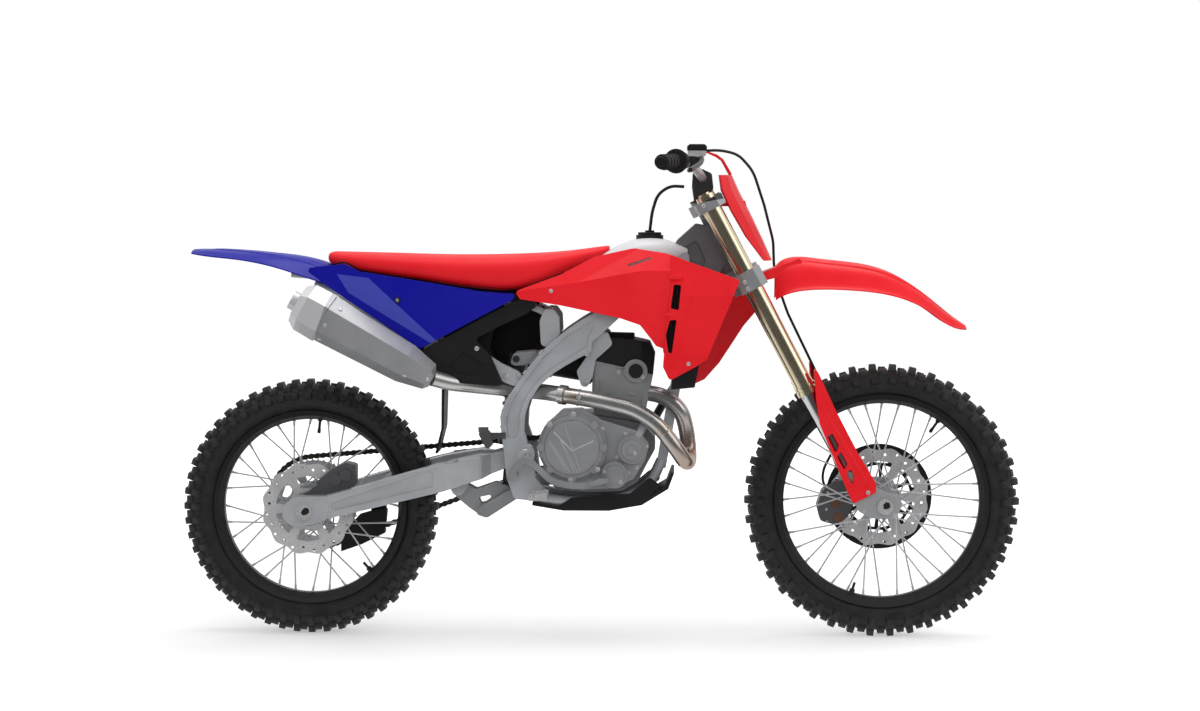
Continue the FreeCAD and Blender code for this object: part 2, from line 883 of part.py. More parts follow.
# Frame
head_half_share = 0.30
head_side_shares = [
    (9.72, 9.22), (10.30, 9.10), (10.52, 9.32), (10.62, 9.48), (10.75, 9.72), (10.28, 10.60), (9.96, 10.66),
    (9.49, 10.24), (9.26, 9.86),
]
head_block = rounded_plate("HeadBlock", head_side_shares, -head_half_share, head_half_share,
                           size("cover_edge") * 2)
head_tube = cylinder(size("head_tube_radius"), size("head_tube_above") + size("head_tube_below"),
                     steered(0, 0, -size("head_tube_below")), up_axis)
head_bore = cylinder(size("stem_radius") + size("bearing_gap"), size("head_height"),
                     steered(0, 0, -size("head_height") / 2), up_axis)
head_recess_shares = [(9.62, 9.55), (10.10, 9.42), (10.22, 9.70), (9.98, 10.24), (9.72, 10.08), (9.50, 9.80)]
head_web_share = 0.22
head_recesses = [rounded_plate("HeadRecess", head_recess_shares, low, high, size("cover_edge") * 2)
                 for low, high in ((head_web_share, wide_share), (-wide_share, -head_web_share))]
frame_head = node("frame_head", cut(fused(cut(head_block, *head_recesses), head_tube), head_bore))

spar_side_shares = [
    (9.80, 10.05), (9.10, 9.50), (8.30, 8.98), (7.42, 8.43), (7.05, 8.22), (6.65, 7.95), (6.28, 7.65),
    (6.01, 7.38), (5.74, 7.06), (5.42, 6.60), (5.14, 6.19), (5.00, 5.77), (5.03, 5.32), (5.09, 4.86),
    (5.16, 4.20), (5.35, 3.66), (5.95, 3.60), (6.21, 3.80), (5.90, 4.20), (5.82, 4.77), (5.73, 5.00),
    (5.60, 5.37), (5.62, 5.78), (5.73, 6.14), (6.01, 6.56), (6.37, 6.88), (6.65, 7.06), (6.96, 7.24),
    (7.33, 7.43), (7.33, 7.68), (7.64, 7.93), (8.05, 8.31), (8.90, 8.70), (9.80, 9.35),
]
spar_top_shares = [
    (9.90, 0.30), (9.90, 0.46), (9.10, 0.70), (8.20, 0.95), (7.20, 1.08), (4.80, 1.08), (4.80, 0.76),
    (7.20, 0.76), (8.20, 0.64), (8.90, 0.44), (9.30, 0.30),
]
recess_side_shares = [
    (7.50, 8.30), (6.74, 7.86), (6.10, 7.28), (5.53, 6.52), (5.26, 6.10), (5.14, 5.74), (5.20, 5.20),
    (5.36, 5.20), (5.48, 5.40), (5.49, 5.80), (5.60, 6.18), (5.92, 6.64), (6.30, 6.98), (6.90, 7.36),
    (7.22, 7.56), (7.24, 7.78),
]
spar_bend = size("cast_edge") * 4
recess_inner_share = 1.04
spar_blank = rounded_plate("SparSide", spar_side_shares, -wide_share, wide_share, spar_bend)
spar_recess = rounded_plate("SparRecess", recess_side_shares, recess_inner_share, wide_share, spar_bend)
pivot_shares = (5.65, 4.81)
pivot_radius_share = 0.24
pivot_outer_share = 1.14
pivot_boss_edge_share = 0.76
pivot_boss = bar_across(across(pivot_radius_share), pivot_shares, pivot_boss_edge_share, pivot_outer_share)
hanger_shares = [
    (7.32, 7.70), (7.20, 7.30), (6.93, 6.90), (7.06, 6.52), (7.20, 6.50), (7.34, 6.76), (7.42, 7.20),
    (7.86, 7.60), (7.70, 7.98),
]
hanger_span_shares = (0.64, 0.8)
hanger = rounded_plate("Hanger", hanger_shares, *hanger_span_shares, spar_bend)
tab_top_shares = [(6.04, 7.40), (6.52, 7.86), (6.50, 8.30), (6.36, 8.50), (6.12, 8.50), (6.00, 8.20)]
top_tab_span_shares = (0.8, 0.96)
tab_top = rounded_plate("TopTab", tab_top_shares, *top_tab_span_shares, spar_bend)
lug_shares = [(5.02, 7.12), (4.66, 7.36), (4.58, 7.16), (4.96, 6.70), (5.40, 6.50), (5.56, 6.86)]
subframe_lug_span_shares = (0.8, 0.98)
lug_plate = rounded_plate("SubframeLug", lug_shares, *subframe_lug_span_shares, spar_bend)
spar = cut(common(spar_blank, top_pad("SparTop", spar_top_shares)), spar_recess)
spar = fused(spar, pivot_boss, hanger, tab_top, lug_plate)
shock_bolt_shares = (5.36, 7.18)
shock_bolt_span_shares = (-0.36, 0.36)
shock_bolt = bar_across(size("bolt_radius") * 1.5, shock_bolt_shares, *shock_bolt_span_shares)
clevis_shares = [
    (5.20, 7.06), (5.30, 7.34), (5.60, 7.36), (6.20, 7.44), (6.20, 7.14), (5.60, 7.02), (5.34, 7.00),
]
clevis_span_shares = (0.24, 0.34)
clevis = rounded_plate("Clevis", clevis_shares, *clevis_span_shares, spar_bend)
cross_tube_place_shares = (6.10, 7.20)
cross_tube_span_shares = (-0.86, 0.86)
cross_tube = bar_across(size("subframe_tube_radius") * 1.5, cross_tube_place_shares, *cross_tube_span_shares)
node("frame_spars", cut(fused(spar, mirrored(spar), clevis, mirrored(clevis), cross_tube), shock_bolt))

downtube_side_shares = [
    (9.58, 6.46), (9.21, 4.37), (8.95, 4.30), (9.26, 6.22), (9.92, 9.31), (10.42, 9.31),
]
downtube_half_share = 0.23
downtube = side_pad("Downtube", downtube_side_shares, -downtube_half_share, downtube_half_share)
rail_places_shares = [
    (9.08, 4.52, 0.16), (8.90, 4.10, 0.42), (8.45, 3.74, 0.60), (7.70, 3.54, 0.66), (6.80, 3.54, 0.70),
    (6.00, 3.66, 0.72), (5.75, 3.72, 0.70),
]
rail = tube("Rail", [point(place) for place in rail_places_shares], size("cradle_tube_radius"))
node("frame_cradle", cut(fused(downtube, rail, mirrored(rail)), nodes["frame_spars"], frame_head))

subframe_upper_shares = [
    (6.24, 8.34, 0.80), (5.80, 8.56, 0.70), (4.40, 8.76, 0.66), (1.60, 9.20, 0.50), (-0.40, 9.36, 0.42),
]
subframe_lower_shares = [
    (4.84, 6.98, 0.80), (4.50, 7.16, 0.66), (3.00, 7.95, 0.60), (1.20, 8.75, 0.52), (0.20, 9.10, 0.47),
]
subframe_upper = tube("SubframeUpper", [point(p) for p in subframe_upper_shares],
                      size("subframe_tube_radius"))
subframe_lower = tube("SubframeLower", [point(p) for p in subframe_lower_shares],
                      size("subframe_tube_radius"))
subframe_half = cut(fused(subframe_upper, subframe_lower), nodes["frame_spars"])
node("subframe", subframe_half, mirrored(subframe_half))

# Swingarm, shock and linkage
arm_side_shares = [
    (-0.27, 3.70), (-0.56, 3.46), (-0.56, 3.12), (-0.30, 2.94), (0.20, 2.98), (0.61, 3.15), (3.46, 3.83),
    (4.53, 4.15), (5.40, 4.50), (5.62, 4.60), (5.70, 4.86), (5.60, 4.98), (4.75, 4.74), (4.38, 4.74),
    (3.46, 4.56), (0.53, 3.72),
]
arm_top_shares = [
    (-0.70, arm_inner), (-0.70, arm_outer), (0.60, arm_outer), (1.20, 1.27), (3.60, 1.22), (4.50, 0.95),
    (4.72, 0.56), (5.95, 0.56), (5.95, 0.35), (4.72, 0.35), (4.50, 0.38), (3.90, 0.60), (3.20, 0.78),
    (1.20, 0.92), (0.60, arm_inner),
]
arm_recess_shares = [(0.70, 3.34), (3.30, 3.98), (3.30, 4.42), (0.70, 3.56)]
arm_recess_depth_share = 0.05
cross_side_shares = [(3.80, 4.06), (3.80, 4.52), (4.40, 4.66), (4.40, 4.24)]
cross_half_share = 0.7
lower_lug_shares = [(3.60, 3.96), (3.74, 3.66), (3.92, 3.64), (4.06, 3.78), (4.30, 4.30)]
arm_blank = rounded_plate("ArmSide", arm_side_shares, -wide_share, wide_share, spar_bend)
arm = common(arm_blank, top_pad("ArmTop", arm_top_shares))
arm_recess = rounded_plate("ArmRecess", arm_recess_shares, arm_outer - across(arm_recess_depth_share),
                           wide_share, spar_bend)
arm = cut(arm, arm_recess)
cross_member = side_pad("CrossMember", cross_side_shares, -cross_half_share, cross_half_share)
lower_lug_span_shares = (0.29, 0.42)
lower_lug = rounded_plate("LowerLug", lower_lug_shares, *lower_lug_span_shares, spar_bend)
pivot_hole = bar_across(size("front_axle_radius"), pivot_shares, -wide_share, wide_share)
node("swingarm", cut(fused(arm, mirrored(arm), cross_member, lower_lug, mirrored(lower_lug)),
                     axle_hole("rear_axle_radius", rear_axle), pivot_hole))

shock_top_shares = (5.36, 7.30, 0.02)
shock_low_shares = (5.04, 3.72, 0.02)
shock_low = point(shock_low_shares)
shock_line = point(shock_top_shares) - shock_low
shock_direction = Vector(shock_line).normalize()
shock_steps_shares = [(0.0, 0.06, 0.17), (0.06, 0.34, 0.09), (0.34, 0.38, 0.30), (0.84, 0.88, 0.30),
                      (0.88, 1.0, 0.22)]
spring_shares = (0.38, 0.84)
spring_coils = 8
coil_shares = [(0.10, 0.22), (0.25, 0.27), (0.55, 0.27), (0.70, 0.22)]


def shock():
    """Shaft, seats, body and coil spring turned as one about their own line."""
    profile = [(0.0, 0.0)]
    for start, end, radius in shock_steps_shares[:3]:
        profile += [(radius, start), (radius, end)]
    first, last = spring_shares
    pitch = (last - first) / spring_coils
    for index in range(spring_coils):
        profile += [(radius, first + (index + share) * pitch) for share, radius in coil_shares]
    for start, end, radius in shock_steps_shares[3:]:
        profile += [(radius, start), (radius, end)]
    profile.append((0.0, 1.0))
    side = shock_direction.cross(side_axis)
    spots = [shock_low + shock_line * share + side * float(across(radius)) for radius, share in profile]
    face = Part.Face(Part.makePolygon(spots + spots[:1]))
    return made("Shock", face.revolve(shock_low, shock_direction, 360))


link_pin_share = 0.26
link_pin_place_shares = (5.04, 3.78)
link_pin = bar_across(size("bolt_radius"), link_pin_place_shares, -link_pin_share, link_pin_share)
node("rear_shock", cut(fused(shock(), shock_bolt), link_pin))

link_side_shares = [
    (3.64, 3.86), (3.80, 3.60), (4.10, 3.34), (4.44, 3.10), (4.70, 3.20), (5.20, 3.56), (5.20, 3.88),
    (4.80, 3.96), (4.30, 3.78), (3.95, 3.98),
]
link_hole_shares = [(4.42, 3.40), (4.62, 3.44), (4.72, 3.66), (4.36, 3.58)]
link_span_shares = (0.14, 0.27)
link_blank = rounded_plate("Link", link_side_shares, *link_span_shares, spar_bend)
link_hole = rounded_plate("LinkHole", link_hole_shares, -wide_share, wide_share, size("cover_edge"))
link = cut(link_blank, link_hole)
rod_shares = [(4.30, 3.16), (4.60, 3.06), (5.40, 3.58), (5.44, 3.78), (5.24, 3.84), (4.40, 3.34)]
rod_span_shares = (0.3, 0.38)
rod = rounded_plate("Rod", rod_shares, *rod_span_shares, spar_bend)
rod_pin_place_shares = (4.48, 3.24)
rod_pin_span_shares = (-0.4, 0.4)
rod_pin = bar_across(size("bolt_radius"), rod_pin_place_shares, *rod_pin_span_shares)
cradle_pin_place_shares = (5.34, 3.72)
cradle_pin_span_shares = (-0.76, 0.76)
cradle_pin = bar_across(size("bolt_radius"), cradle_pin_place_shares, *cradle_pin_span_shares)
arm_pin_place_shares = (3.84, 3.80)
arm_pin_span_shares = (-0.42, 0.42)
arm_pin = bar_across(size("bolt_radius"), arm_pin_place_shares, *arm_pin_span_shares)
node("shock_linkage", cut(fused(link, mirrored(link), link_pin, rod, mirrored(rod), rod_pin, cradle_pin,
                                arm_pin),
                          nodes["swingarm"], nodes["frame_spars"], nodes["rear_shock"]))

# Engine
case_side_shares = [
    (6.14, 4.20), (6.40, 3.92), (7.20, 3.82), (8.10, 3.86), (8.50, 4.10), (8.72, 4.52), (8.94, 4.90),
    (8.92, 5.20), (8.62, 5.60), (7.36, 5.80), (6.60, 5.76), (6.20, 5.50), (6.06, 5.00),
]
case_top_shares = [
    (5.98, -0.74), (5.98, 0.52), (6.95, 0.52), (6.95, 0.90), (8.40, 0.88), (9.00, 0.60), (9.00, -0.60),
    (8.60, -0.95), (6.40, -0.95),
]
case_blank = rounded_plate("CaseSide", case_side_shares, -wide_share, wide_share, size("cover_edge") * 4)
crankcase = node("crankcase", cut(common(case_blank, top_pad("CaseTop", case_top_shares)),
                                  nodes["frame_cradle"]))
barrel_side_shares = [(7.40, 5.60), (7.32, 6.30), (7.33, 7.18), (8.88, 6.80), (8.78, 6.30), (8.62, 5.50)]
barrel_top_shares = [
    (7.20, -0.52), (7.20, 0.52), (7.40, 0.62), (8.60, 0.62), (8.90, 0.50), (8.90, -0.50), (8.60, -0.62),
    (7.40, -0.62),
]
barrel = two_views("Barrel", barrel_side_shares, barrel_top_shares)
cam_shares = (8.44, 6.91)
cam_radius_share = 0.30
cam_boss_span_shares = (-0.7, -0.5)
cam_boss = bar_across(across(cam_radius_share), cam_shares, *cam_boss_span_shares)
cam_plug_span_shares = (-0.76, -0.5)
cam_plug = bar_across(across(cam_radius_share * 0.6), cam_shares, *cam_plug_span_shares)
cover_side_shares = [
    (7.34, 7.183), (7.38, 7.50), (7.52, 7.70), (7.70, 7.76), (8.43, 7.70), (8.79, 7.62), (8.93, 7.31),
    (8.88, 6.803),
]
head_cover_outline_shares = [
    (7.2, -0.46), (7.2, 0.46), (7.5, 0.62), (8.6, 0.62), (9.0, 0.46), (9.0, -0.46), (8.6, -0.62),
    (7.5, -0.62),
]
head_cover = two_views("HeadCover", cover_side_shares,
                       head_cover_outline_shares)
cover_rib_shares = [(7.60, 7.66), (8.40, 7.58), (8.40, 7.84), (7.64, 7.86)]
cover_rib_span_shares = (-0.16, 0.16)
cover_rib = rounded_plate("CoverRib", cover_rib_shares, *cover_rib_span_shares, size("cover_edge"))
cylinder_node = node("cylinder", cut(fused(barrel, cam_boss), crankcase, cam_plug))
node("head_cover", cut(fused(head_cover, cover_rib, cam_plug), cylinder_node))


def stepped_cover(place, radius_share, steps):
    """A round cover on the right of the engine: rings of share of the radius, each standing further out."""
    parts = []
    for radius, low, high in steps:
        parts.append(bar_across(across(radius_share * radius), place, low, high))
    return parts


clutch_place_shares = (6.85, 5.03)
clutch_steps_shares = [(1.10, -1.36, -0.90), (1.0, -1.50, -1.30), (0.86, -1.56, -1.40)]
clutch_radius_share = 0.79
clutch_bosses = 8
clutch_boss_share = 0.10
clutch_cover = stepped_cover(clutch_place_shares, clutch_radius_share, clutch_steps_shares)
clutch_boss_span_shares = (-1.52, -1.2)
for index in range(clutch_bosses):
    turn = 2 * math.pi * index / clutch_bosses
    spot = (clutch_place_shares[0] + clutch_radius_share * math.cos(turn),
            clutch_place_shares[1] + clutch_radius_share * math.sin(turn))
    clutch_cover.append(bar_across(across(clutch_boss_share), spot, *clutch_boss_span_shares))
right_cover_shares = [
    (6.10, 4.40), (6.40, 4.00), (7.10, 3.92), (7.90, 3.96), (8.40, 4.20), (8.70, 4.70), (8.80, 5.10),
    (8.52, 5.42), (7.60, 5.70), (7.10, 6.00), (6.60, 5.98), (6.10, 5.50),
]
right_cover_span_shares = (-1.2, -0.94)
right_cover = rounded_plate("RightCover", right_cover_shares, *right_cover_span_shares,
                            size("cover_edge") * 4)
pump_cover_place_shares = (8.36, 4.96)
pump_cover_radius_share = 0.36
pump_cover_outline_shares = [(1.0, -1.34, -1.10), (0.7, -1.44, -1.30), (0.3, -1.50, -1.40)]
pump_cover = stepped_cover(pump_cover_place_shares, pump_cover_radius_share, pump_cover_outline_shares)
filter_cover_place_shares = (7.92, 4.32)
filter_cover_radius_share = 0.34
filter_cover_outline_shares = [(1.0, -1.38, -1.10), (0.7, -1.42, -1.30)]
filter_cover = stepped_cover(filter_cover_place_shares, filter_cover_radius_share,
                             filter_cover_outline_shares)
pump_pipe = tube("PumpPipe", [point(place) for place in ((8.40, 5.04, -1.26), (8.56, 5.40, -1.10),
                                                          (8.72, 5.70, -0.80))], size("bar_radius"))
left_cover_shares = [
    (6.95, 4.70), (7.20, 4.20), (7.80, 4.02), (8.30, 4.20), (8.56, 4.70), (8.50, 5.20), (8.10, 5.52),
    (7.40, 5.50), (7.00, 5.20),
]
left_cover_span_shares = (0.86, 1.12)
left_cover = rounded_plate("LeftCover", left_cover_shares, *left_cover_span_shares, size("cover_edge") * 4)
magneto_cover_place_shares = (7.78, 4.78)
magneto_cover_span_shares = (1.08, 1.26)
magneto_cover_radius_share = 0.56
magneto_cover = bar_across(across(magneto_cover_radius_share), magneto_cover_place_shares,
                           *magneto_cover_span_shares)
right_covers = cut(fused(right_cover, *clutch_cover, *pump_cover, *filter_cover, pump_pipe), crankcase)
node("engine_covers", right_covers, cut(fused(left_cover, magneto_cover), crankcase))

header_places_shares = [
    (8.60, 6.34, -0.32), (9.16, 6.26, -0.46), (9.60, 5.90, -0.44), (9.74, 5.40, -0.24), (9.80, 4.85, -0.24),
    (9.80, 4.55, -0.55), (9.70, 4.62, -0.90), (9.46, 5.00, -1.08), (9.00, 5.60, -1.14), (8.40, 5.98, -1.14),
    (7.56, 6.17, -1.12), (6.95, 6.27, -1.05), (6.40, 6.33, -0.80), (5.95, 6.36, -0.50), (5.20, 6.42, -0.50),
    (4.40, 6.52, -0.72), (3.75, 6.62, -1.10), (3.30, 6.76, -1.32),
]
header = tube("Header", [point(place) for place in header_places_shares], size("exhaust_radius"))
header_clamp_share = (6.52, 6.32, -0.87)
header_ahead_share = (6.95, 6.27, -1.05)
clamp_start = point(header_clamp_share)
clamp_line = (point(header_ahead_share) - clamp_start).normalize()
header_clamp = cylinder(size("exhaust_clamp_radius"), size("exhaust_clamp_length"), clamp_start, clamp_line)
muffler_sections_shares = [
    (3.30, 6.72, -1.32, 0.20, 0.22), (3.22, 6.80, -1.33, 0.36, 0.34), (2.62, 7.14, -1.38, 0.52, 0.46),
    (0.60, 8.28, -1.46, 0.62, 0.50),
]
muffler_cap_shares = [
    (0.60, 8.28, -1.46, 0.66, 0.54), (0.10, 8.56, -1.48, 0.64, 0.52), (-0.08, 8.66, -1.49, 0.50, 0.42),
]
muffler_outlet_shares = [(0.10, 8.56, -1.48, 0.24, 0.22), (-0.24, 8.76, -1.50, 0.22, 0.20)]
hexagon_shares = [(1.0, 0.0), (0.5, 1.0), (-0.5, 1.0), (-1.0, 0.0), (-0.5, -1.0), (0.5, -1.0)]


def muffler(sections):
    """A tapered six-sided can round a line that rises to the rear."""
    centres = [point(section[:3]) for section in sections]
    line = (centres[-1] - centres[0]).normalize()
    rise = Vector(0, 1, 0).cross(line).normalize()
    wires = []
    for centre, section in zip(centres, sections):
        tall = float(across(section[3]))
        wide = float(across(section[4]))
        spots = [centre + rise * (tall * a) + side_axis * (wide * b) for a, b in hexagon_shares]
        wires.append(Part.makePolygon(spots + spots[:1]))
    return made("Muffler", Part.makeLoft(wires, True, True))


outlet_start = point(muffler_outlet_shares[0][:3])
outlet_line = point(muffler_outlet_shares[1][:3]) - outlet_start
outlet = cylinder(across(muffler_outlet_shares[0][3]), outlet_line.Length, outlet_start, outlet_line)
outlet_bore = cylinder(across(muffler_outlet_shares[0][3]) - size("panel_wall"), outlet_line.Length * 2,
                       outlet_start + outlet_line * run_share, outlet_line)
hanger_tab_shares = [(2.96, 7.26), (3.22, 7.20), (3.44, 7.70), (3.20, 7.86)]
muffler_tab_span_shares = (-1.03, -0.56)
hanger_tab = side_pad("MufflerTab", hanger_tab_shares, *muffler_tab_span_shares)
node("muffler", cut(fused(muffler(muffler_sections_shares), muffler(muffler_cap_shares), outlet, hanger_tab),
                    outlet_bore, nodes["subframe"]))
node("exhaust_header", cut(fused(header, header_clamp), nodes["muffler"], nodes["cylinder"],
                           nodes["frame_spars"],
                           nodes["engine_covers"]))

radiator_side_shares = [(9.34, 6.50), (9.94, 6.56), (10.26, 8.20), (10.06, 8.70), (9.60, 8.70)]
radiator_low_share = 0.62
radiator_high_share = 1.46
radiator_tab_shares = [(9.62, 7.08), (9.78, 7.08), (9.84, 7.24), (9.68, 7.24)]
slat_count = 9
radiator_core = side_pad("RadiatorCore", radiator_side_shares, radiator_low_share, radiator_high_share)
front_low_place_shares = (9.97, 6.70, 0.68)
front_low = point(front_low_place_shares)
front_high_place_shares = (10.24, 8.10, 0.68)
front_high = point(front_high_place_shares)
grille_slots = []
grille_width_share = 0.72
slot_depth_share = 0.24
slot_start_share = 0.1
for index in range(slat_count):
    middle = front_low + (front_high - front_low) * ((index + 0.5) / slat_count)
    rise = (front_high - front_low).Length / slat_count - float(size("slat_thickness"))
    slot = document.addObject("Part::Box", "Slot")
    bind(slot, "Length", across(slot_depth_share))
    bind(slot, "Width", across(grille_width_share))
    slot.Height = rise
    slot.Placement = FreeCAD.Placement(middle - Vector(float(across(slot_start_share)), 0,
                                                       rise / 2), FreeCAD.Rotation())
    grille_slots.append(slot)
radiator_tab_reach_share = 0.65
radiator_tab = side_pad("RadiatorTab", radiator_tab_shares, downtube_half_share, radiator_tab_reach_share)
radiator_hose = tube("RadiatorHose", [point(place) for place in ((9.60, 6.62, 0.90), (9.30, 6.20, 0.96),
                                                                  (9.00, 5.70, 0.92), (8.80, 5.30, 0.80))],
                     size("bar_radius"))
radiator = fused(cut(radiator_core, *grille_slots), radiator_tab)
node("radiators", fused(radiator, cut(radiator_hose, crankcase)), mirrored(radiator))

# Bodywork


def oval_section(place_along, top, low, half, round_share):
    """A rounded closed section across the bike."""
    spots = []
    middle = (top + low) / 2
    tall = (top - low) / 2
    for index in range(section_points):
        turn = 2 * math.pi * (index + 0.5) / section_points
        flat = math.copysign(abs(math.cos(turn)) ** round_share, math.cos(turn))
        rise = math.copysign(abs(math.sin(turn)) ** round_share, math.sin(turn))
        spots.append(point((place_along, middle + tall * rise, half * flat)))
    return spots


section_points = 16
seat_sections_shares = [
    (0.55, 9.92, 9.66, 0.52), (1.30, 9.90, 9.44, 0.82), (2.40, 9.87, 9.28, 1.04), (3.60, 9.84, 9.10, 1.18),
    (4.60, 9.84, 8.98, 1.22), (5.40, 9.86, 8.98, 1.20), (6.20, 9.90, 9.22, 1.06), (7.00, 9.98, 9.58, 0.80),
    (7.75, 10.08, 9.96, 0.40),
]
section_round_share = 0.55
seat = node("seat", lofted("Seat", [oval_section(*section,
                                                 section_round_share) for section in seat_sections_shares]))
tank_sections_shares = [
    (6.50, 9.30, 8.80, 0.60), (7.20, 9.62, 8.80, 0.92), (7.90, 10.06, 9.05, 1.06), (8.60, 10.28, 9.30, 1.08),
    (9.20, 10.24, 9.60, 0.86), (9.75, 10.02, 9.86, 0.42),
]
tank = lofted("Tank", [oval_section(*section, section_round_share) for section in tank_sections_shares])
node("fuel_tank", cut(tank, seat, nodes["frame_spars"], frame_head, nodes["head_cover"]))
cap_place_shares = (8.78, 10.26, 0.0)
cap_steps_shares = [(0.35, 0.10), (0.30, 0.17), (0.12, 0.22)]
cap_parts = [cylinder(across(radius), across(reach), point(cap_place_shares), Vector(0, 0, 1))
             for radius, reach in cap_steps_shares]
vent_places_shares = [(8.78, 10.44, 0.0), (8.84, 10.95, 0.02), (8.98, 11.40, 0.06), (9.30, 11.62, 0.10),
                      (9.66, 11.60, 0.14)]
vent = tube("Vent", [point(place) for place in vent_places_shares], size("vent_radius"))
node("fuel_cap", cut(fused(*cap_parts, vent), nodes["fuel_tank"]))


def boss(place_along, place_up, inner_share, outer_share):
    """A round boss between the thing that carries a panel and the panel."""
    half_wall = size("panel_wall") / 2
    start = point((place_along, place_up, -inner_share))
    return cylinder(size("boss_radius"), across(outer_share - inner_share) + half_wall, start, -side_axis)


def panel(name, outline, rows, bend):
    """A creased panel trimmed to its outline, standing off the right side by the places of its rows."""
    prism = rounded_plate(f"{name}Outline", outline, -wide_share, wide_share, bend)
    grid = [[point(place) for place in row] for row in rows]
    return common(prism, creased_shell(f"{name}Sheet", grid, side_axis * -float(size("panel_wall"))))


panel_bend = size("cover_edge") * 2
shroud_rear_outline = [
    (5.40, 8.97), (6.53, 9.38), (7.71, 10.00), (8.44, 10.05), (9.23, 9.93), (9.66, 9.79), (9.60, 8.40),
    (9.36, 7.46), (8.96, 7.62), (8.86, 7.76), (8.56, 8.14), (8.05, 8.31), (6.54, 8.62), (5.52, 8.77),
]
shroud_front_outline = [
    (9.28, 9.91), (11.06, 9.29), (10.24, 7.30), (9.97, 7.12), (9.31, 6.75), (9.14, 7.10), (9.20, 7.90),
    (9.36, 9.20),
]
left_front_outline = [
    (9.28, 9.91), (11.06, 9.29), (11.60, 8.31), (11.26, 7.91), (10.95, 7.43), (10.61, 6.92), (10.22, 6.49),
    (9.97, 6.38), (9.31, 6.75), (9.14, 7.10), (9.20, 7.90), (9.36, 9.20),
]
shroud_rear_rows = [
    [(5.0, 6.4, -1.25), (7.0, 6.4, -1.34), (8.6, 6.4, -1.46), (10.2, 6.4, -1.60)],
    [(5.0, 8.0, -1.26), (7.0, 8.2, -1.38), (8.6, 8.2, -1.56), (10.2, 8.2, -1.72)],
    [(5.0, 8.9, -1.26), (7.0, 9.2, -1.34), (8.6, 9.5, -1.50), (10.2, 9.5, -1.66)],
    [(5.0, 9.4, -1.10), (7.0, 9.75, -1.04), (8.6, 10.1, -1.10), (10.2, 10.2, -1.20)],
]
shroud_front_rows = [
    [(8.8, 6.3, -1.58), (9.5, 6.3, -1.66), (10.3, 6.3, -1.74), (12.2, 6.3, -1.86)],
    [(8.9, 7.6, -1.64), (9.6, 7.4, -1.84), (10.6, 7.4, -1.98), (12.2, 7.6, -2.04)],
    [(9.0, 8.9, -1.66), (9.9, 8.9, -1.86), (10.8, 8.9, -2.00), (12.2, 8.9, -2.04)],
    [(9.0, 10.2, -1.38), (9.9, 10.1, -1.52), (10.8, 10.0, -1.70), (12.2, 9.9, -1.80)],
]
vent_upper_shares = [(9.41, 9.17), (9.59, 9.15), (9.53, 8.52), (9.33, 8.57)]
vent_lower_shares = [(9.31, 8.27), (9.48, 8.29), (9.36, 7.43), (9.27, 7.48), (9.21, 7.89)]
vents = [rounded_plate("ShroudVent", outline, -wide_share, wide_share, size("cover_edge"))
         for outline in (vent_upper_shares, vent_lower_shares)]
slit_shares = [(8.26, 9.60), (8.83, 9.78), (8.83, 9.84), (8.26, 9.66)]
slit = rounded_plate("ShroudSlit", slit_shares, -wide_share, wide_share, size("slat_thickness") / 2)
shroud_rear = cut(panel("ShroudRear", shroud_rear_outline, shroud_rear_rows, panel_bend), *vents, slit)
bridge_low_shares = [(9.20, 8.38), (9.56, 8.38), (9.56, 8.46), (9.20, 8.46)]
bridge_high_shares = [(9.30, 9.30), (9.62, 9.30), (9.62, 9.40), (9.30, 9.40)]


radiator_boss_shares = (9.8, 7.8, 1.463, 1.86)


tank_boss_shares = (7.0, 9.0, 0.6, 1.34)


bridge_span_shares = (-1.8, -1.58)


def shroud_side(name, front_outline):
    """The rear and front panels of one side with the bridges and bosses that join and carry them."""
    front = cut(panel(f"{name}Front", front_outline, shroud_front_rows, panel_bend), *vents)
    joined = [shroud_rear, front]
    for outline in (bridge_low_shares, bridge_high_shares):
        joined.append(rounded_plate(f"{name}Bridge", outline, *bridge_span_shares,
                                    size("slat_thickness")))
    joined.append(boss(*radiator_boss_shares))
    joined.append(boss(*tank_boss_shares))
    return cut(fused(*joined), nodes["fuel_tank"])


node("shrouds", shroud_side("Right", shroud_front_outline), mirrored(shroud_side("Left", left_front_outline)))

side_panel_outline = [
    (-0.02, 9.53), (0.48, 9.16), (2.98, 7.50), (5.37, 8.77), (5.38, 8.90), (4.51, 8.96), (3.24, 9.18),
    (1.44, 9.45), (1.04, 9.64),
]
side_panel_rows = [
    [(-0.4, 7.2, -0.98), (1.8, 7.2, -1.10), (3.6, 7.2, -1.22), (5.8, 7.2, -1.28)],
    [(-0.4, 8.6, -0.96), (1.8, 8.5, -1.16), (3.6, 8.3, -1.27), (5.8, 8.7, -1.29)],
    [(-0.4, 9.8, -0.86), (1.8, 9.7, -1.06), (3.6, 9.7, -1.23), (5.8, 9.7, -1.27)],
]
side_panel = panel("SidePanel", side_panel_outline, side_panel_rows, panel_bend)
side_panel_boss_shares = (3.6, 8.4, 0.583, 1.27)
side_panel = fused(side_panel, boss(*side_panel_boss_shares))
node("side_panels", side_panel, mirrored(side_panel))


def arched_rows(stations, bow_share, layout):
    """Rows across a fender: crown height in the middle and edge height at the sides."""
    rows = []
    for place_along, crown, edge, half in stations:
        row = []
        for index in range(-fender_columns, fender_columns + 1):
            share = index / fender_columns
            row.append(point((place_along, crown - (crown - edge) * abs(share) ** bow_share, half * share),
                             layout))
        rows.append(row)
    return rows


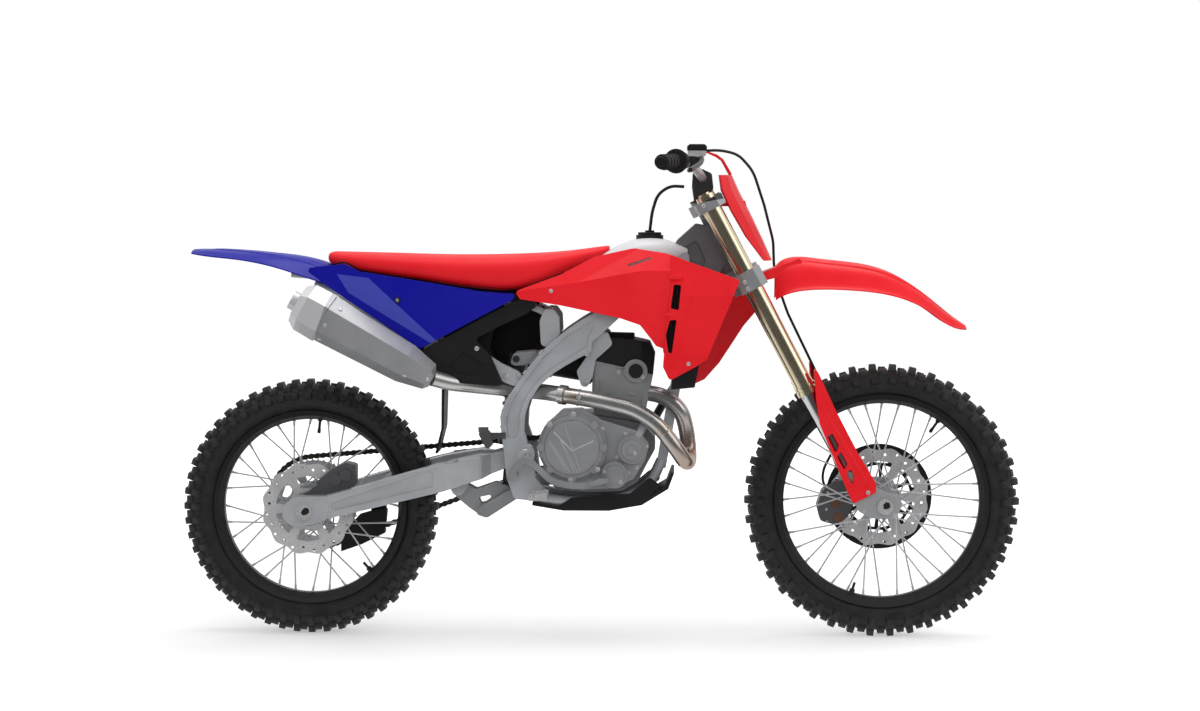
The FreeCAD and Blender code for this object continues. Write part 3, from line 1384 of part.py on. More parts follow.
fender_columns = 3
fender_bow_share = 2.4
rear_fender_stations = [
    (-2.98, 9.98, 9.90, 0.50), (-1.81, 9.96, 9.76, 0.74), (-0.70, 9.88, 9.54, 0.82), (0.10, 9.76, 9.28, 0.84),
    (0.90, 9.46, 9.08, 0.84),
]
down = Vector(0, 0, -float(size("fender_wall")))
rear_fender = sheet_solid("RearFender", arched_rows(rear_fender_stations, fender_bow_share, chassis), down)
node("rear_fender", cut(rear_fender, seat, nodes["subframe"]))
front_fender_stations = [
    (12.00, 9.56, 8.74, 0.58), (12.40, 9.80, 8.94, 0.72), (13.10, 9.77, 9.03, 0.82),
    (13.92, 9.68, 9.01, 0.84), (14.82, 9.47, 8.90, 0.80), (15.90, 8.80, 8.46, 0.70),
    (16.86, 8.08, 8.00, 0.46),
]
front_fender = sheet_solid("FrontFender", arched_rows(front_fender_stations, fender_bow_share, steering),
                           down)

airbox_core_share = 0.58
airbox_core_shares = [
    (1.95, 8.25), (3.42, 6.72), (4.96, 6.72), (4.70, 7.52), (4.90, 8.30), (5.40, 8.80), (2.50, 8.85),
]
airbox_wing_shares = [
    (2.38, 7.72), (3.40, 6.66), (5.10, 6.56), (4.74, 7.36), (4.36, 7.74), (4.96, 8.06), (5.66, 8.38),
    (6.00, 8.62), (5.60, 8.78), (5.34, 8.70), (2.98, 7.44), (2.56, 7.74),
]
recess_wing_shares = [(3.70, 7.04), (4.07, 7.42), (4.62, 7.10), (4.44, 6.82), (3.96, 6.84)]
airbox_core = rounded_plate("AirboxCore", airbox_core_shares, -airbox_core_share, airbox_core_share,
                            panel_bend)
airbox_wing_edge_share = -1.2
airbox_wing = rounded_plate("AirboxWing", airbox_wing_shares, airbox_wing_edge_share, -airbox_core_share,
                            panel_bend)
wing_recess_edge_share = -1.17
wing_recess = rounded_plate("WingRecess", recess_wing_shares, -wide_share, wing_recess_edge_share,
                            size("cover_edge"))
wing = cut(airbox_wing, wing_recess)
intake_radius_share = 0.24
intake_places_shares = [(5.80, 7.30, 0.0), (7.45, 6.93, 0.0)]
intake_line = point(intake_places_shares[1]) - point(intake_places_shares[0])
intake = cylinder(across(intake_radius_share), intake_line.Length, point(intake_places_shares[0]),
                  intake_line)
intake = cut(intake, nodes["cylinder"], nodes["head_cover"], nodes["frame_spars"])
throttle_body_place_shares = (6.30, 7.19, 0.0)
throttle_body_length_share = 0.5
throttle_body_radius_share = 0.33
throttle_body = cut(cylinder(across(throttle_body_radius_share), across(throttle_body_length_share),
                             point(throttle_body_place_shares), intake_line),
                    nodes["frame_spars"])
airbox = cut(fused(airbox_core, wing, mirrored(wing)), nodes["subframe"], seat, nodes["rear_shock"],
             nodes["exhaust_header"], nodes["frame_spars"], nodes["muffler"])
node("airbox", airbox, fused(intake, throttle_body))

skid_side_shares = [
    (9.36, 4.33), (9.22, 3.96), (8.55, 3.56), (7.76, 3.407), (6.60, 3.407), (5.80, 3.53), (5.80, 3.46),
    (6.60, 3.33), (7.76, 3.33), (8.60, 3.48), (9.28, 3.90), (9.43, 4.31),
]
skid_wing_shares = [
    (9.10, 3.98), (8.55, 3.50), (7.76, 3.36), (6.60, 3.36), (6.40, 3.40), (6.80, 3.66), (8.30, 3.78),
    (8.80, 4.20),
]
skid_wing_span_shares = (-0.85, -0.815)
skid_wing = rounded_plate("SkidWing", skid_wing_shares, *skid_wing_span_shares, panel_bend)
skid_plate_span_shares = (-0.85, 0.85)
skid_floor = side_pad("SkidPlate", skid_side_shares, *skid_plate_span_shares)
node("skid_plate", cut(fused(skid_floor, skid_wing, mirrored(skid_wing)), nodes["frame_cradle"], crankcase))

flap_side_shares = [(3.46, 6.76), (3.54, 6.76), (3.50, 5.39), (3.34, 4.75), (3.28, 4.75), (3.44, 5.39)]
mud_flap_span_shares = (-0.52, 0.52)
node("mud_flap", cut(side_pad("MudFlap", flap_side_shares, *mud_flap_span_shares), nodes["airbox"]))

# Controls and small pieces
peg_side_shares = [(5.78, 3.74), (6.24, 3.74), (6.24, 3.90), (5.78, 3.90)]
peg_teeth = 8
peg_outer_share = 2.05
peg_inner_share = 1.08
peg_blank = side_pad("Peg", peg_side_shares, -peg_outer_share, -peg_inner_share)
peg_gaps = []
peg_gap_shares = [(5.70, 3.85), (6.40, 3.85), (6.40, 4.00), (5.70, 4.00)]
peg_first_gap_share = -1.99
peg_pitch_share = 0.10
peg_gap_share = 0.06
for index in range(peg_teeth):
    start = peg_first_gap_share + index * peg_pitch_share
    peg_gaps.append(side_pad("PegGap", peg_gap_shares, start, start + peg_gap_share))
peg_window_outline_shares = [(5.88, 3.60), (6.14, 3.60), (6.14, 4.00), (5.88, 4.00)]
peg_window_span_shares = (-1.95, -1.25)
peg_window = side_pad("PegWindow", peg_window_outline_shares, *peg_window_span_shares)
peg = cut(peg_blank, *peg_gaps, peg_window)
node("footpegs", peg, mirrored(peg))
pedal_pivot_shares = (5.34, 4.30)
pedal_shares = [
    (5.30, 4.26), (5.40, 4.50), (5.56, 4.70), (5.80, 4.68), (6.04, 4.47), (6.31, 4.20), (6.76, 4.07),
    (7.21, 4.07), (7.50, 4.16),
]
pedal_arm_span_shares = (-1.64, -1.56)
pedal_arm = band("PedalArm", pedal_shares, size("pedal_height"), *pedal_arm_span_shares)
pedal_tip_outline_shares = [(7.30, 4.06), (7.76, 4.17), (7.80, 4.27), (7.50, 4.26), (7.28, 4.16)]
pedal_tip_span_shares = (-1.76, -1.46)
pedal_tip = rounded_plate("PedalTip", pedal_tip_outline_shares, *pedal_tip_span_shares,
                          size("slat_thickness"))
pedal_hub_edge_share = -1.64
pedal_hub_radius_share = 0.13
pedal_hub = bar_across(across(pedal_hub_radius_share), pedal_pivot_shares, pedal_hub_edge_share,
                       -peg_inner_share)
pedal = cut(fused(pedal_arm, pedal_tip, pedal_hub), nodes["frame_spars"])
shift_shares = [(7.14, 4.36), (7.34, 4.26), (7.70, 4.22), (8.06, 4.20)]
shift_arm_span_shares = (1.3, 1.38)
shift_arm = band("ShiftArm", shift_shares, size("pedal_height"), *shift_arm_span_shares)
shift_tip_place_shares = (8.02, 4.20)
shift_tip_span_shares = (1.36, 1.76)
shift_tip_radius_share = 0.1
shift_tip = bar_across(across(shift_tip_radius_share), shift_tip_place_shares, *shift_tip_span_shares)
shift_shaft_place_shares = (7.16, 4.35)
shift_shaft_span_shares = (0.9, 1.38)
shift_shaft_radius_share = 0.1
shift_shaft = bar_across(across(shift_shaft_radius_share), shift_shaft_place_shares, *shift_shaft_span_shares)
node("foot_controls", pedal, cut(fused(shift_arm, shift_tip, shift_shaft), crankcase, nodes["engine_covers"]))
guide_side_shares = [(1.90, 3.20), (1.84, 2.62), (1.24, 2.32), (0.68, 2.02), (0.68, 2.44), (1.16, 2.99)]
guide_floor_shares = [(1.84, 2.62), (1.16, 2.30), (0.68, 2.12), (0.68, 2.02), (1.24, 2.22), (1.84, 2.52)]
guide_tab_shares = [(1.45, 2.76), (1.82, 2.76), (1.84, 3.50), (1.45, 3.50)]
guide_outer_span_shares = (0.77, 0.81)
guide_outer = rounded_plate("GuideOuter", guide_side_shares, *guide_outer_span_shares, panel_bend)
guide_inner_span_shares = (0.51, 0.55)
guide_inner = rounded_plate("GuideInner", guide_side_shares, *guide_inner_span_shares, panel_bend)
guide_floor_span_shares = (0.51, 0.81)
guide_floor = side_pad("GuideFloor", guide_floor_shares, *guide_floor_span_shares)
guide_tab_span_shares = (0.77, 1.05)
guide_tab = side_pad("GuideTab", guide_tab_shares, *guide_tab_span_shares)
node("chain_guides", cut(fused(guide_outer, guide_inner, guide_floor, guide_tab), nodes["swingarm"]))


def disc_slot(centre, radius, low, high):
    """The room that a disc turns in."""
    start = centre + side_axis * float(across(low))
    return cylinder(size(radius) + size("running_gap"), across(high - low), start, side_axis)


caliper_side_shares = [
    (0.24, 4.03), (0.60, 4.34), (1.01, 4.54), (1.28, 4.48), (1.26, 3.95), (0.80, 3.56), (0.50, 3.66),
]
carrier_side_shares = [(-0.30, 3.00), (0.28, 3.00), (1.00, 3.80), (0.60, 4.20), (-0.20, 3.62)]
rear_caliper_span_shares = (-0.88, -0.42)
caliper_body = rounded_plate("RearCaliper", caliper_side_shares, *rear_caliper_span_shares,
                             size("cover_edge") * 2)
caliper_pistons_span_shares = (-0.94, -0.8)
caliper_pistons_radius_share = 0.15
caliper_pistons = [bar_across(across(caliper_pistons_radius_share), spot,
                              *caliper_pistons_span_shares) for spot in ((0.76, 4.10), (1.02, 4.22))]
caliper_slot_span_shares = (-0.69, -0.55)
caliper_slot = disc_slot(rear_axle, "rear_disc_radius", *caliper_slot_span_shares)
rear_carrier_span_shares = (-0.897, -0.8)
carrier = rounded_plate("RearCarrier", carrier_side_shares, *rear_carrier_span_shares, size("cover_edge") * 2)
rear_caliper = cut(fused(cut(caliper_body, caliper_slot), carrier, *caliper_pistons),
                   axle_hole("rear_axle_radius", rear_axle), nodes["swingarm"])
master_side_shares = [(4.42, 5.42), (4.74, 5.42), (4.83, 5.07), (4.71, 4.95), (4.62, 5.02)]
master_tab_shares = [(4.60, 5.20), (5.14, 5.20), (5.14, 5.36), (4.60, 5.36)]
rear_master_span_shares = (-1.28, -1.04)
master_body = rounded_plate("RearMaster", master_side_shares, *rear_master_span_shares,
                            size("cover_edge") * 2)
master_tab_span_shares = (-1.13, -1.083)
master_tab = side_pad("MasterTab", master_tab_shares, *master_tab_span_shares)
master_cap_place_shares = (4.58, 5.38, -1.16)
cap_height_share = 0.12
cap_disc_radius_share = 0.13
master_cap = cylinder(across(cap_disc_radius_share), across(cap_height_share),
                      point(master_cap_place_shares), Vector(0, 0, 1))
node("rear_brake", rear_caliper, fused(master_body, master_tab, master_cap))

# Steering pieces, built upright round the steering axis
upper_bottom = size("head_tube_above") + size("upper_clamp_gap")
upper_top = upper_bottom + size("upper_clamp_thickness")
lower_top = -size("head_tube_below") - size("bearing_height")
lower_bottom = lower_top - size("lower_clamp_thickness")
fork_above = upper_top + size("fork_cap_height")
fork_below = -size("fork_tube_below")


def clamp(name, outline_shares, bottom, thickness):
    """A clamp round both legs and the stem, between two heights above the head point."""
    outline = [steered(across(first), across(second), bottom) for first, second in outline_shares]
    face = Part.Face(rounded_outline(outline, float(size("cover_edge")) * 2))
    return made(name, face.extrude(up_axis * float(thickness)))


def leg(radius, low, high, side=-1):
    start = steered(size("clamp_offset"), size("leg_from_middle") * side, low)
    return cylinder(radius, high - low, start, up_axis)


clamp_outline_shares = [
    (-0.30, -0.40), (-0.16, -0.70), (-0.12, -1.30), (0.10, -1.38), (0.44, -1.38), (0.62, -1.20),
    (0.58, -0.74), (0.40, -0.44), (0.40, 0.44), (0.58, 0.74), (0.62, 1.20), (0.44, 1.38), (0.10, 1.38),
    (-0.12, 1.30), (-0.16, 0.70), (-0.30, 0.40),
]
leg_gap = size("fork_tube_radius") + size("clamp_gap")
span = size("head_height")
leg_bores = [leg(leg_gap, -span / 2, span / 2, side) for side in (-1, 1)]
upper = clamp("UpperClamp", clamp_outline_shares, upper_bottom, size("upper_clamp_thickness"))
lower = clamp("LowerClamp", clamp_outline_shares, lower_bottom, size("lower_clamp_thickness"))
stem = cylinder(size("stem_radius"), upper_bottom - lower_bottom, steered(0, 0, lower_bottom), up_axis)
stem_seat = cylinder(size("head_tube_radius"), size("bearing_height") - size("bearing_gap"),
                     steered(0, 0, lower_top), up_axis)
stem_nut = cylinder(size("axle_nut_radius"), size("fork_cap_height"), steered(0, 0, upper_top), up_axis)
node("lower_clamp", cut(fused(lower, stem, stem_seat), *leg_bores))
tubes = []
for side in (-1, 1):
    steps = [
        (size("fork_tube_radius"), fork_below, fork_above),
        (size("fork_collar_radius"), fork_below, fork_below + size("fork_collar_length")),
        (size("fork_collar_radius"), fork_below + size("fork_collar_length") + size("fork_ring_length"),
         fork_below + size("fork_collar_length") * 2),
        (size("slider_radius") * 0.7, fork_above, fork_above + size("fork_ring_length")),
    ]
    tubes.append(fused(*[leg(radius, low, high, side) for radius, low, high in steps]))
node("fork_tubes", *tubes)
slider_bottom = -Size(axle_below_head, repr(axle_below_head)) + size("foot_above_axle")
foot_side_shares = [
    (14.01, 3.59), (14.12, 3.84), (14.18, 4.06), (14.55, 3.98), (14.86, 3.84), (15.13, 3.78), (15.20, 3.60),
    (15.14, 3.41), (14.90, 3.26), (14.62, 3.21), (14.39, 3.24), (14.11, 3.40),
]
foot_bore = axle_hole("front_axle_radius", front_axle)
guard_shares = [
    (12.95, 7.06), (13.06, 6.92), (13.51, 5.96), (14.08, 4.88), (14.53, 4.13), (14.53, 3.90), (13.95, 3.61),
    (13.72, 4.13), (13.33, 5.07), (13.10, 5.63), (13.00, 6.24),
]
lug_length = size("foot_above_axle") * 2
sliders = []
for side in (-1, 1):
    outer = foot_outer * side
    inner = foot_inner * side
    low, high = (outer, inner) if side == -1 else (inner, outer)
    foot = rounded_plate("Foot", foot_side_shares, low, high, size("cover_edge") * 2, steering)
    lug = leg(size("foot_outer_reach"), slider_bottom, slider_bottom + lug_length, side)
    rod = leg(size("slider_radius"), slider_bottom, fork_below, side)
    sliders.append(cut(fused(rod, foot, lug), foot_bore))
node("fork_sliders", *sliders)
front_fender_tongue_shares = [(11.30, 9.28), (11.30, 9.10), (12.30, 9.36), (12.66, 9.70), (12.60, 9.78)]
fender_tongue_span_shares = (-0.4, 0.4)
fender_tongue = side_pad("FenderTongue", front_fender_tongue_shares, *fender_tongue_span_shares, steering)
node("front_fender", cut(fused(front_fender, fender_tongue), nodes["lower_clamp"]))

guard_stand_share = 0.1
guard_outer = foot_outer + across(guard_stand_share)
guard_reach_share = 0.3
guard_reach = across(guard_reach_share)
guard_wall = size("guard_wall")
guard_slots_shares = [
    [(13.40, 5.42), (13.58, 5.10), (13.52, 4.86), (13.30, 5.30)],
    [(13.62, 4.96), (13.80, 4.64), (13.74, 4.44), (13.54, 4.80)],
    [(13.86, 4.52), (14.02, 4.26), (13.94, 4.08), (13.78, 4.36)],
]
guard_slots = [rounded_plate("GuardSlot", shares, -wide_share, wide_share, size("slat_thickness") * 2,
                             steering)
               for shares in guard_slots_shares]


mount_place_shares = (14.02, 4.22)


def fork_guard():
    """A thin guard that wraps the front and the outside of the lower leg, open to the back and inside."""
    blank = rounded_plate("GuardBlank", guard_shares, -guard_outer, guard_reach - guard_outer, panel_bend,
                          steering)
    outline = rounded_outline([point((first, second, guard_wall - guard_outer), steering)
                               for first, second in guard_shares], float(panel_bend))
    inside = Part.Face(outline.makeOffset2D(-float(guard_wall)))
    hollow = inside.extrude(side_axis * float(size("shroud_width")))
    clear = leg(size("fork_collar_radius") + size("guard_gap"), slider_bottom - lug_length,
                fork_below + size("fork_collar_radius") * 2)
    mount = bar_across(size("boss_radius"), mount_place_shares, -guard_outer, -size("leg_from_middle"),
                       steering)
    shell = cut(blank, made("GuardHollow", hollow), clear, *guard_slots)
    return cut(fused(shell, mount), nodes["fork_sliders"])


guard = fork_guard()
node("fork_guards", guard, mirrored(guard))

bar_places_shares = [
    (10.10, 11.80, 0.0), (10.12, 11.82, 0.95), (9.86, 12.16, 1.95), (9.50, 12.24, 2.80), (9.10, 12.21, 4.13),
]
bar_half = [point(place, steering) for place in bar_places_shares]
bar_points = [Vector(spot.x, -spot.y, spot.z) for spot in reversed(bar_half[1:])] + bar_half[1:]
bar = node("handlebar", tube("Bar", bar_points, size("bar_radius")))
bar_end = bar_half[-1]
bar_line = (bar_half[-2] - bar_half[-1]).normalize()
grip_ring_share = 1.1
grip_parts = [cylinder(size("grip_radius"), size("grip_length"), bar_end, bar_line),
              cylinder(size("grip_flange_radius"), size("grip_flange_thickness"),
                       bar_end + bar_line * float(size("grip_length")), bar_line)]
grip_rings = 5
for index in range(grip_rings):
    start = bar_end + bar_line * (float(size("grip_length")) * (index + 0.3) / grip_rings)
    grip_parts.append(cylinder(size("grip_radius") * grip_ring_share, size("grip_flange_thickness"), start,
                               bar_line))
grip = cut(fused(*grip_parts), bar)
node("grips", grip, mirrored(grip))
riser_shares = [(9.94, 11.05), (10.36, 11.18), (10.40, 11.60), (10.36, 11.94), (10.10, 12.06), (9.88, 11.94),
                (9.86, 11.60)]
riser_span_shares = (0.35, 0.62)
riser = rounded_plate("Riser", riser_shares, *riser_span_shares, size("cover_edge") * 2, steering)
node("upper_clamp", cut(fused(upper, riser, mirrored(riser), stem_nut), *leg_bores, bar))
lever_places_shares = [(9.86, 12.34, 2.20), (10.10, 12.30, 2.45), (10.05, 12.18, 3.10), (9.80, 12.02, 3.95)]
lever = tube("Lever", [point(place, steering) for place in lever_places_shares], size("lever_radius"))
perch_shares = [(9.56, 12.10), (9.56, 12.40), (9.98, 12.40), (9.98, 12.10)]
perch_span_shares = (2.05, 2.35)
perch = rounded_plate("Perch", perch_shares, *perch_span_shares, size("cover_edge") * 2, steering)
throttle_start = bar_end + bar_line * float(size("grip_length") + size("grip_flange_thickness") * 2)
housing = cylinder(size("grip_flange_radius") * 0.8, size("grip_flange_radius"), throttle_start, bar_line)
lever_set = cut(fused(lever, perch), bar)
reservoir_shares = [
    (9.74, 12.30), (9.74, 12.60), (9.80, 12.66), (10.14, 12.66), (10.20, 12.60), (10.20, 12.36),
]
reservoir_span_shares = (-2.2, -1.75)
reservoir = rounded_plate("Reservoir", reservoir_shares, *reservoir_span_shares, size("cover_edge") * 2,
                          steering)
master_shares = [(9.80, 12.16), (9.86, 12.34), (10.16, 12.34), (10.10, 12.14)]
bar_master_span_shares = (-2.4, -1.6)
bar_master = rounded_plate("BarMaster", master_shares, *bar_master_span_shares, size("cover_edge"), steering)
right_set = cut(fused(mirrored(lever), mirrored(perch), reservoir, bar_master), bar)
node("bar_levers", lever_set, right_set)
node("throttle_housing", cut(mirrored(housing), bar, nodes["bar_levers"]))

plate_rows_shares = [
    (11.92, 9.72, 0.50, 0.20), (11.66, 10.30, 0.78, 0.38), (11.34, 10.96, 1.00, 0.44),
    (11.06, 11.50, 0.98, 0.42), (10.88, 11.90, 0.80, 0.30),
]
plate_columns = 3


def number_plate():
    rows = []
    for place_along, place_up, half, wrap in plate_rows_shares:
        row = []
        for index in range(-plate_columns, plate_columns + 1):
            share = index / plate_columns
            row.append(point((place_along - wrap * share ** 2, place_up, half * share), steering))
        rows.append(row)
    return creased_shell("NumberPlate", rows, Vector(-float(size("panel_wall")), 0, 0))


plate_tab_shares = [(10.30, 11.10), (11.26, 11.10), (11.22, 11.24), (10.30, 11.24)]
plate_tab_span_shares = (-0.14, 0.14)
plate_tab = side_pad("PlateTab", plate_tab_shares, *plate_tab_span_shares, steering)
tongue_shares = [
    (10.82, 11.86), (10.88, 11.92), (10.66, 12.30), (10.50, 12.42), (10.14, 12.54), (10.14, 12.50),
    (10.46, 12.36), (10.60, 12.26),
]
plate_tongue_span_shares = (-0.16, 0.16)
plate_tongue = rounded_plate("PlateTongue", tongue_shares, *plate_tongue_span_shares,
                             size("slat_thickness"), steering)
node("number_plate", cut(fused(number_plate(), plate_tab, plate_tongue), nodes["upper_clamp"]))
front_caliper_shares = [
    (13.24, 2.91), (13.60, 2.82), (13.92, 2.95), (14.16, 3.46), (14.16, 3.74), (13.95, 3.97), (13.60, 3.95),
    (13.28, 3.70), (13.14, 3.30),
]
front_caliper_span_shares = (0.46, 0.98)
front_caliper = rounded_plate("FrontCaliper", front_caliper_shares, *front_caliper_span_shares,
                              size("cover_edge") * 3, steering)
caliper_window_outline_shares = [(13.50, 3.20), (13.80, 3.30), (13.86, 3.60), (13.54, 3.60)]
caliper_window_edge_share = 0.8
caliper_bridge = rounded_plate("CaliperWindow", caliper_window_outline_shares,
                               caliper_window_edge_share, wide_share, size("cover_edge") * 2, steering)
front_disc_radius_span_shares = (0.55, 0.69)
front_slot = disc_slot(front_axle, "front_disc_radius", *front_disc_radius_span_shares)
node("front_caliper", cut(front_caliper, front_slot, caliper_bridge, nodes["fork_sliders"]))
guard_inner_share = 0.73
guard_outer_share = 0.76
guard_hole_share = 0.28
guard_boss_share = 0.36
guard_radius_share = 1.38
guard_window_count = 12
guard_window_rows_shares = [(0.52, 0.82, 0.0), (0.90, 1.22, 0.5)]


def disc_guard():
    """A thin round shield with two staggered rows of windows and a raised boss on the left foot."""
    holes = [round_hole(across(guard_hole_share), Vector())]
    for low, high, shift in guard_window_rows_shares:
        for index in range(guard_window_count):
            start = 2 * math.pi * (index + shift) / guard_window_count
            end = start + math.pi / guard_window_count * 1.5
            holes.append(window(across(low), across(high), start, end, size("slat_thickness")))
    thickness = across(guard_outer_share - guard_inner_share)
    middle = across((guard_outer_share + guard_inner_share) / 2)
    plate = pierced("GuardPlate", round_hole(across(guard_radius_share), Vector()), holes, thickness, middle)
    raised = foot_inner - across(guard_outer_share)
    collar = pierced("GuardBoss", round_hole(across(guard_boss_share), Vector()),
                     [round_hole(across(guard_hole_share), Vector())], raised, foot_inner - raised / 2)
    return made("DiscGuard", set_at(front_axle, plate.Shape.fuse(collar.Shape)))


node("disc_guard", cut(disc_guard(), nodes["front_caliper"]))
hose_places_shares = [
    (10.10, 12.50, -1.60), (10.55, 12.52, -1.45), (11.01, 12.42, -1.20), (11.40, 12.00, -0.80),
    (11.70, 11.14, -0.30), (11.96, 10.20, 0.30), (12.02, 9.30, 1.00), (12.38, 8.30, 1.05),
    (13.04, 6.94, 0.98), (13.44, 6.10, 0.80), (13.64, 5.56, 0.70), (13.72, 5.06, 0.68),
    (13.50, 4.60, 0.68), (13.32, 4.24, 0.70), (13.30, 3.92, 0.74), (13.46, 3.60, 0.74),
]
front_hose = tube("FrontHose", [point(place, steering) for place in hose_places_shares], size("hose_radius"))
node("front_brake_hose", cut(front_hose, nodes["front_caliper"], nodes["bar_levers"]))


# Build, check and write
for name, piece in nodes.items():
    piece.Label = name
document.recompute()
faults = [f"{piece.Label}: {piece.State}" for piece in document.Objects
          if "Invalid" in piece.State or "Error" in piece.State]
for name, piece in nodes.items():
    if piece.Shape.isNull() or not piece.Shape.isValid() or not piece.Shape.Solids:
        faults.append(f"{name}: shape is null, invalid or has no solid")
for fault in faults:
    print(fault)
if faults:
    raise SystemExit(1)
os.makedirs("parts", exist_ok=True)
for name, piece in nodes.items():
    piece.Shape.exportStep(f"parts/{name}.step")
    print(name, len(piece.Shape.Solids), round(piece.Shape.Volume))
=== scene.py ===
"""The looks of the motocross bike: finishes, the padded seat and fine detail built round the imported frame.

The scene is in metres with +X forward, +Y to the bike's left and +Z up, and the origin on top of the seat.
Tables of sizes and places are in millimetres.
"""
import json
import math

import bmesh
import bpy
from mathutils import Matrix, Vector
from mathutils.bvhtree import BVHTree


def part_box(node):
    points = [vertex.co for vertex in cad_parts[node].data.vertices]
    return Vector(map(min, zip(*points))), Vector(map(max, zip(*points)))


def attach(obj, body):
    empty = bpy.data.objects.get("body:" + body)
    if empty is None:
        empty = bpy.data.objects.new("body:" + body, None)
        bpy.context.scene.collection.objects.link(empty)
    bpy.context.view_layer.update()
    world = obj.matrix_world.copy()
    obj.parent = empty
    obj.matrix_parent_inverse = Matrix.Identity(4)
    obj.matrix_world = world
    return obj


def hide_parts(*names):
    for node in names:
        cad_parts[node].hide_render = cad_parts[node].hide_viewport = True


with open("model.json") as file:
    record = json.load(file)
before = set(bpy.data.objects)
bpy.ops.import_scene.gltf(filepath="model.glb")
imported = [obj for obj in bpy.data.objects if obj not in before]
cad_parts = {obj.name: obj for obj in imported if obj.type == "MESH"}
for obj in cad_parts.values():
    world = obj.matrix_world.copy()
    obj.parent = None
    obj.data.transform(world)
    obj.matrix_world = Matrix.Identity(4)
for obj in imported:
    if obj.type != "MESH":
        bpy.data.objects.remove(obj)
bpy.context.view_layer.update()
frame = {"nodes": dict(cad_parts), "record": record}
nodes = frame["nodes"]

millimetre = 0.001
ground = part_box("rear_tyre")[0].z
pivots = {joint["name"]: Vector(joint["pos_m"]) for joint in frame["record"]["behaviour"]["joints"]}
rear_centre = pivots["rear_wheel_spin"]
front_centre = pivots["front_wheel_spin"]
to_left = Vector((0, 1, 0))
downward = Vector((0, 0, -1))
both_sides = (1, -1)
right_side = -1
square_corners = [(-1, -1), (1, -1), (1, 1), (-1, 1)]

# Where the lines start that look for a surface, from the middle and from the ground.
beyond_side = 400
above_bike = 1100


def spot(along, across, above):
    """A place in millimetres ahead of the rear axle, left of the middle and above the ground."""
    return Vector((rear_centre.x + along * millimetre, across * millimetre, ground + above * millimetre))


def side_view(pairs, across=0):
    """Places at one distance across, from pairs of millimetres ahead of the axle and above the ground."""
    return [spot(along, across, above) for along, above in pairs]


def radius_of(node):
    """The radius of a round part of a wheel, from its box."""
    low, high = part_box(node)
    return (high.x - low.x) / 2


# Shader nodes


class Signal:
    """A socket of a shader tree that can be used in a sum like a number."""

    def __init__(self, tree, socket):
        self.tree = tree
        self.socket = socket

    def maths(self, operation, *values):
        return self.tree.node("ShaderNodeMath", {"operation": operation}, dict(enumerate(values)))

    def __add__(self, other):
        return self.maths("ADD", self, other)

    def __radd__(self, other):
        return self.maths("ADD", other, self)

    def __sub__(self, other):
        return self.maths("SUBTRACT", self, other)

    def __rsub__(self, other):
        return self.maths("SUBTRACT", other, self)

    def __mul__(self, other):
        return self.maths("MULTIPLY", self, other)

    def __rmul__(self, other):
        return self.maths("MULTIPLY", other, self)

    def __gt__(self, other):
        return self.maths("GREATER_THAN", self, other)

    def __lt__(self, other):
        return self.maths("LESS_THAN", self, other)


class ShaderTree:
    """The nodes of one material or of the world."""

    def __init__(self, tree):
        self.tree = tree
        tree.nodes.clear()

    def node(self, kind, settings, inputs, output=0):
        """Any node: its settings first, then the values or links of its sockets."""
        made = self.tree.nodes.new(kind)
        for key, value in settings.items():
            setattr(made, key, value)
        for key, value in inputs.items():
            self.feed(made.inputs[key], value)
        return Signal(self, made.outputs[output])

    def feed(self, socket, value):
        if isinstance(value, Signal):
            self.tree.links.new(value.socket, socket)
        else:
            socket.default_value = value

    def spread(self, signal, low, high, start=0.3, end=0.7):
        """A signal drawn out from its own start and end to a low and a high value."""
        return self.node("ShaderNodeMapRange", {}, {
            "Value": signal, "From Min": start, "From Max": end, "To Min": low, "To Max": high})

    def finish(self, kind, shader):
        """Sends a shader to the tree's output."""
        output = self.tree.nodes.new(kind)
        self.feed(output.inputs["Surface"], shader)


def colour(value):
    """A grey level or a red, green and blue triple as a shader colour, and a signal as it is."""
    if isinstance(value, Signal):
        return value
    if isinstance(value, (int, float)):
        return (value, value, value, 1)
    return (*value, 1)


finishes = {}


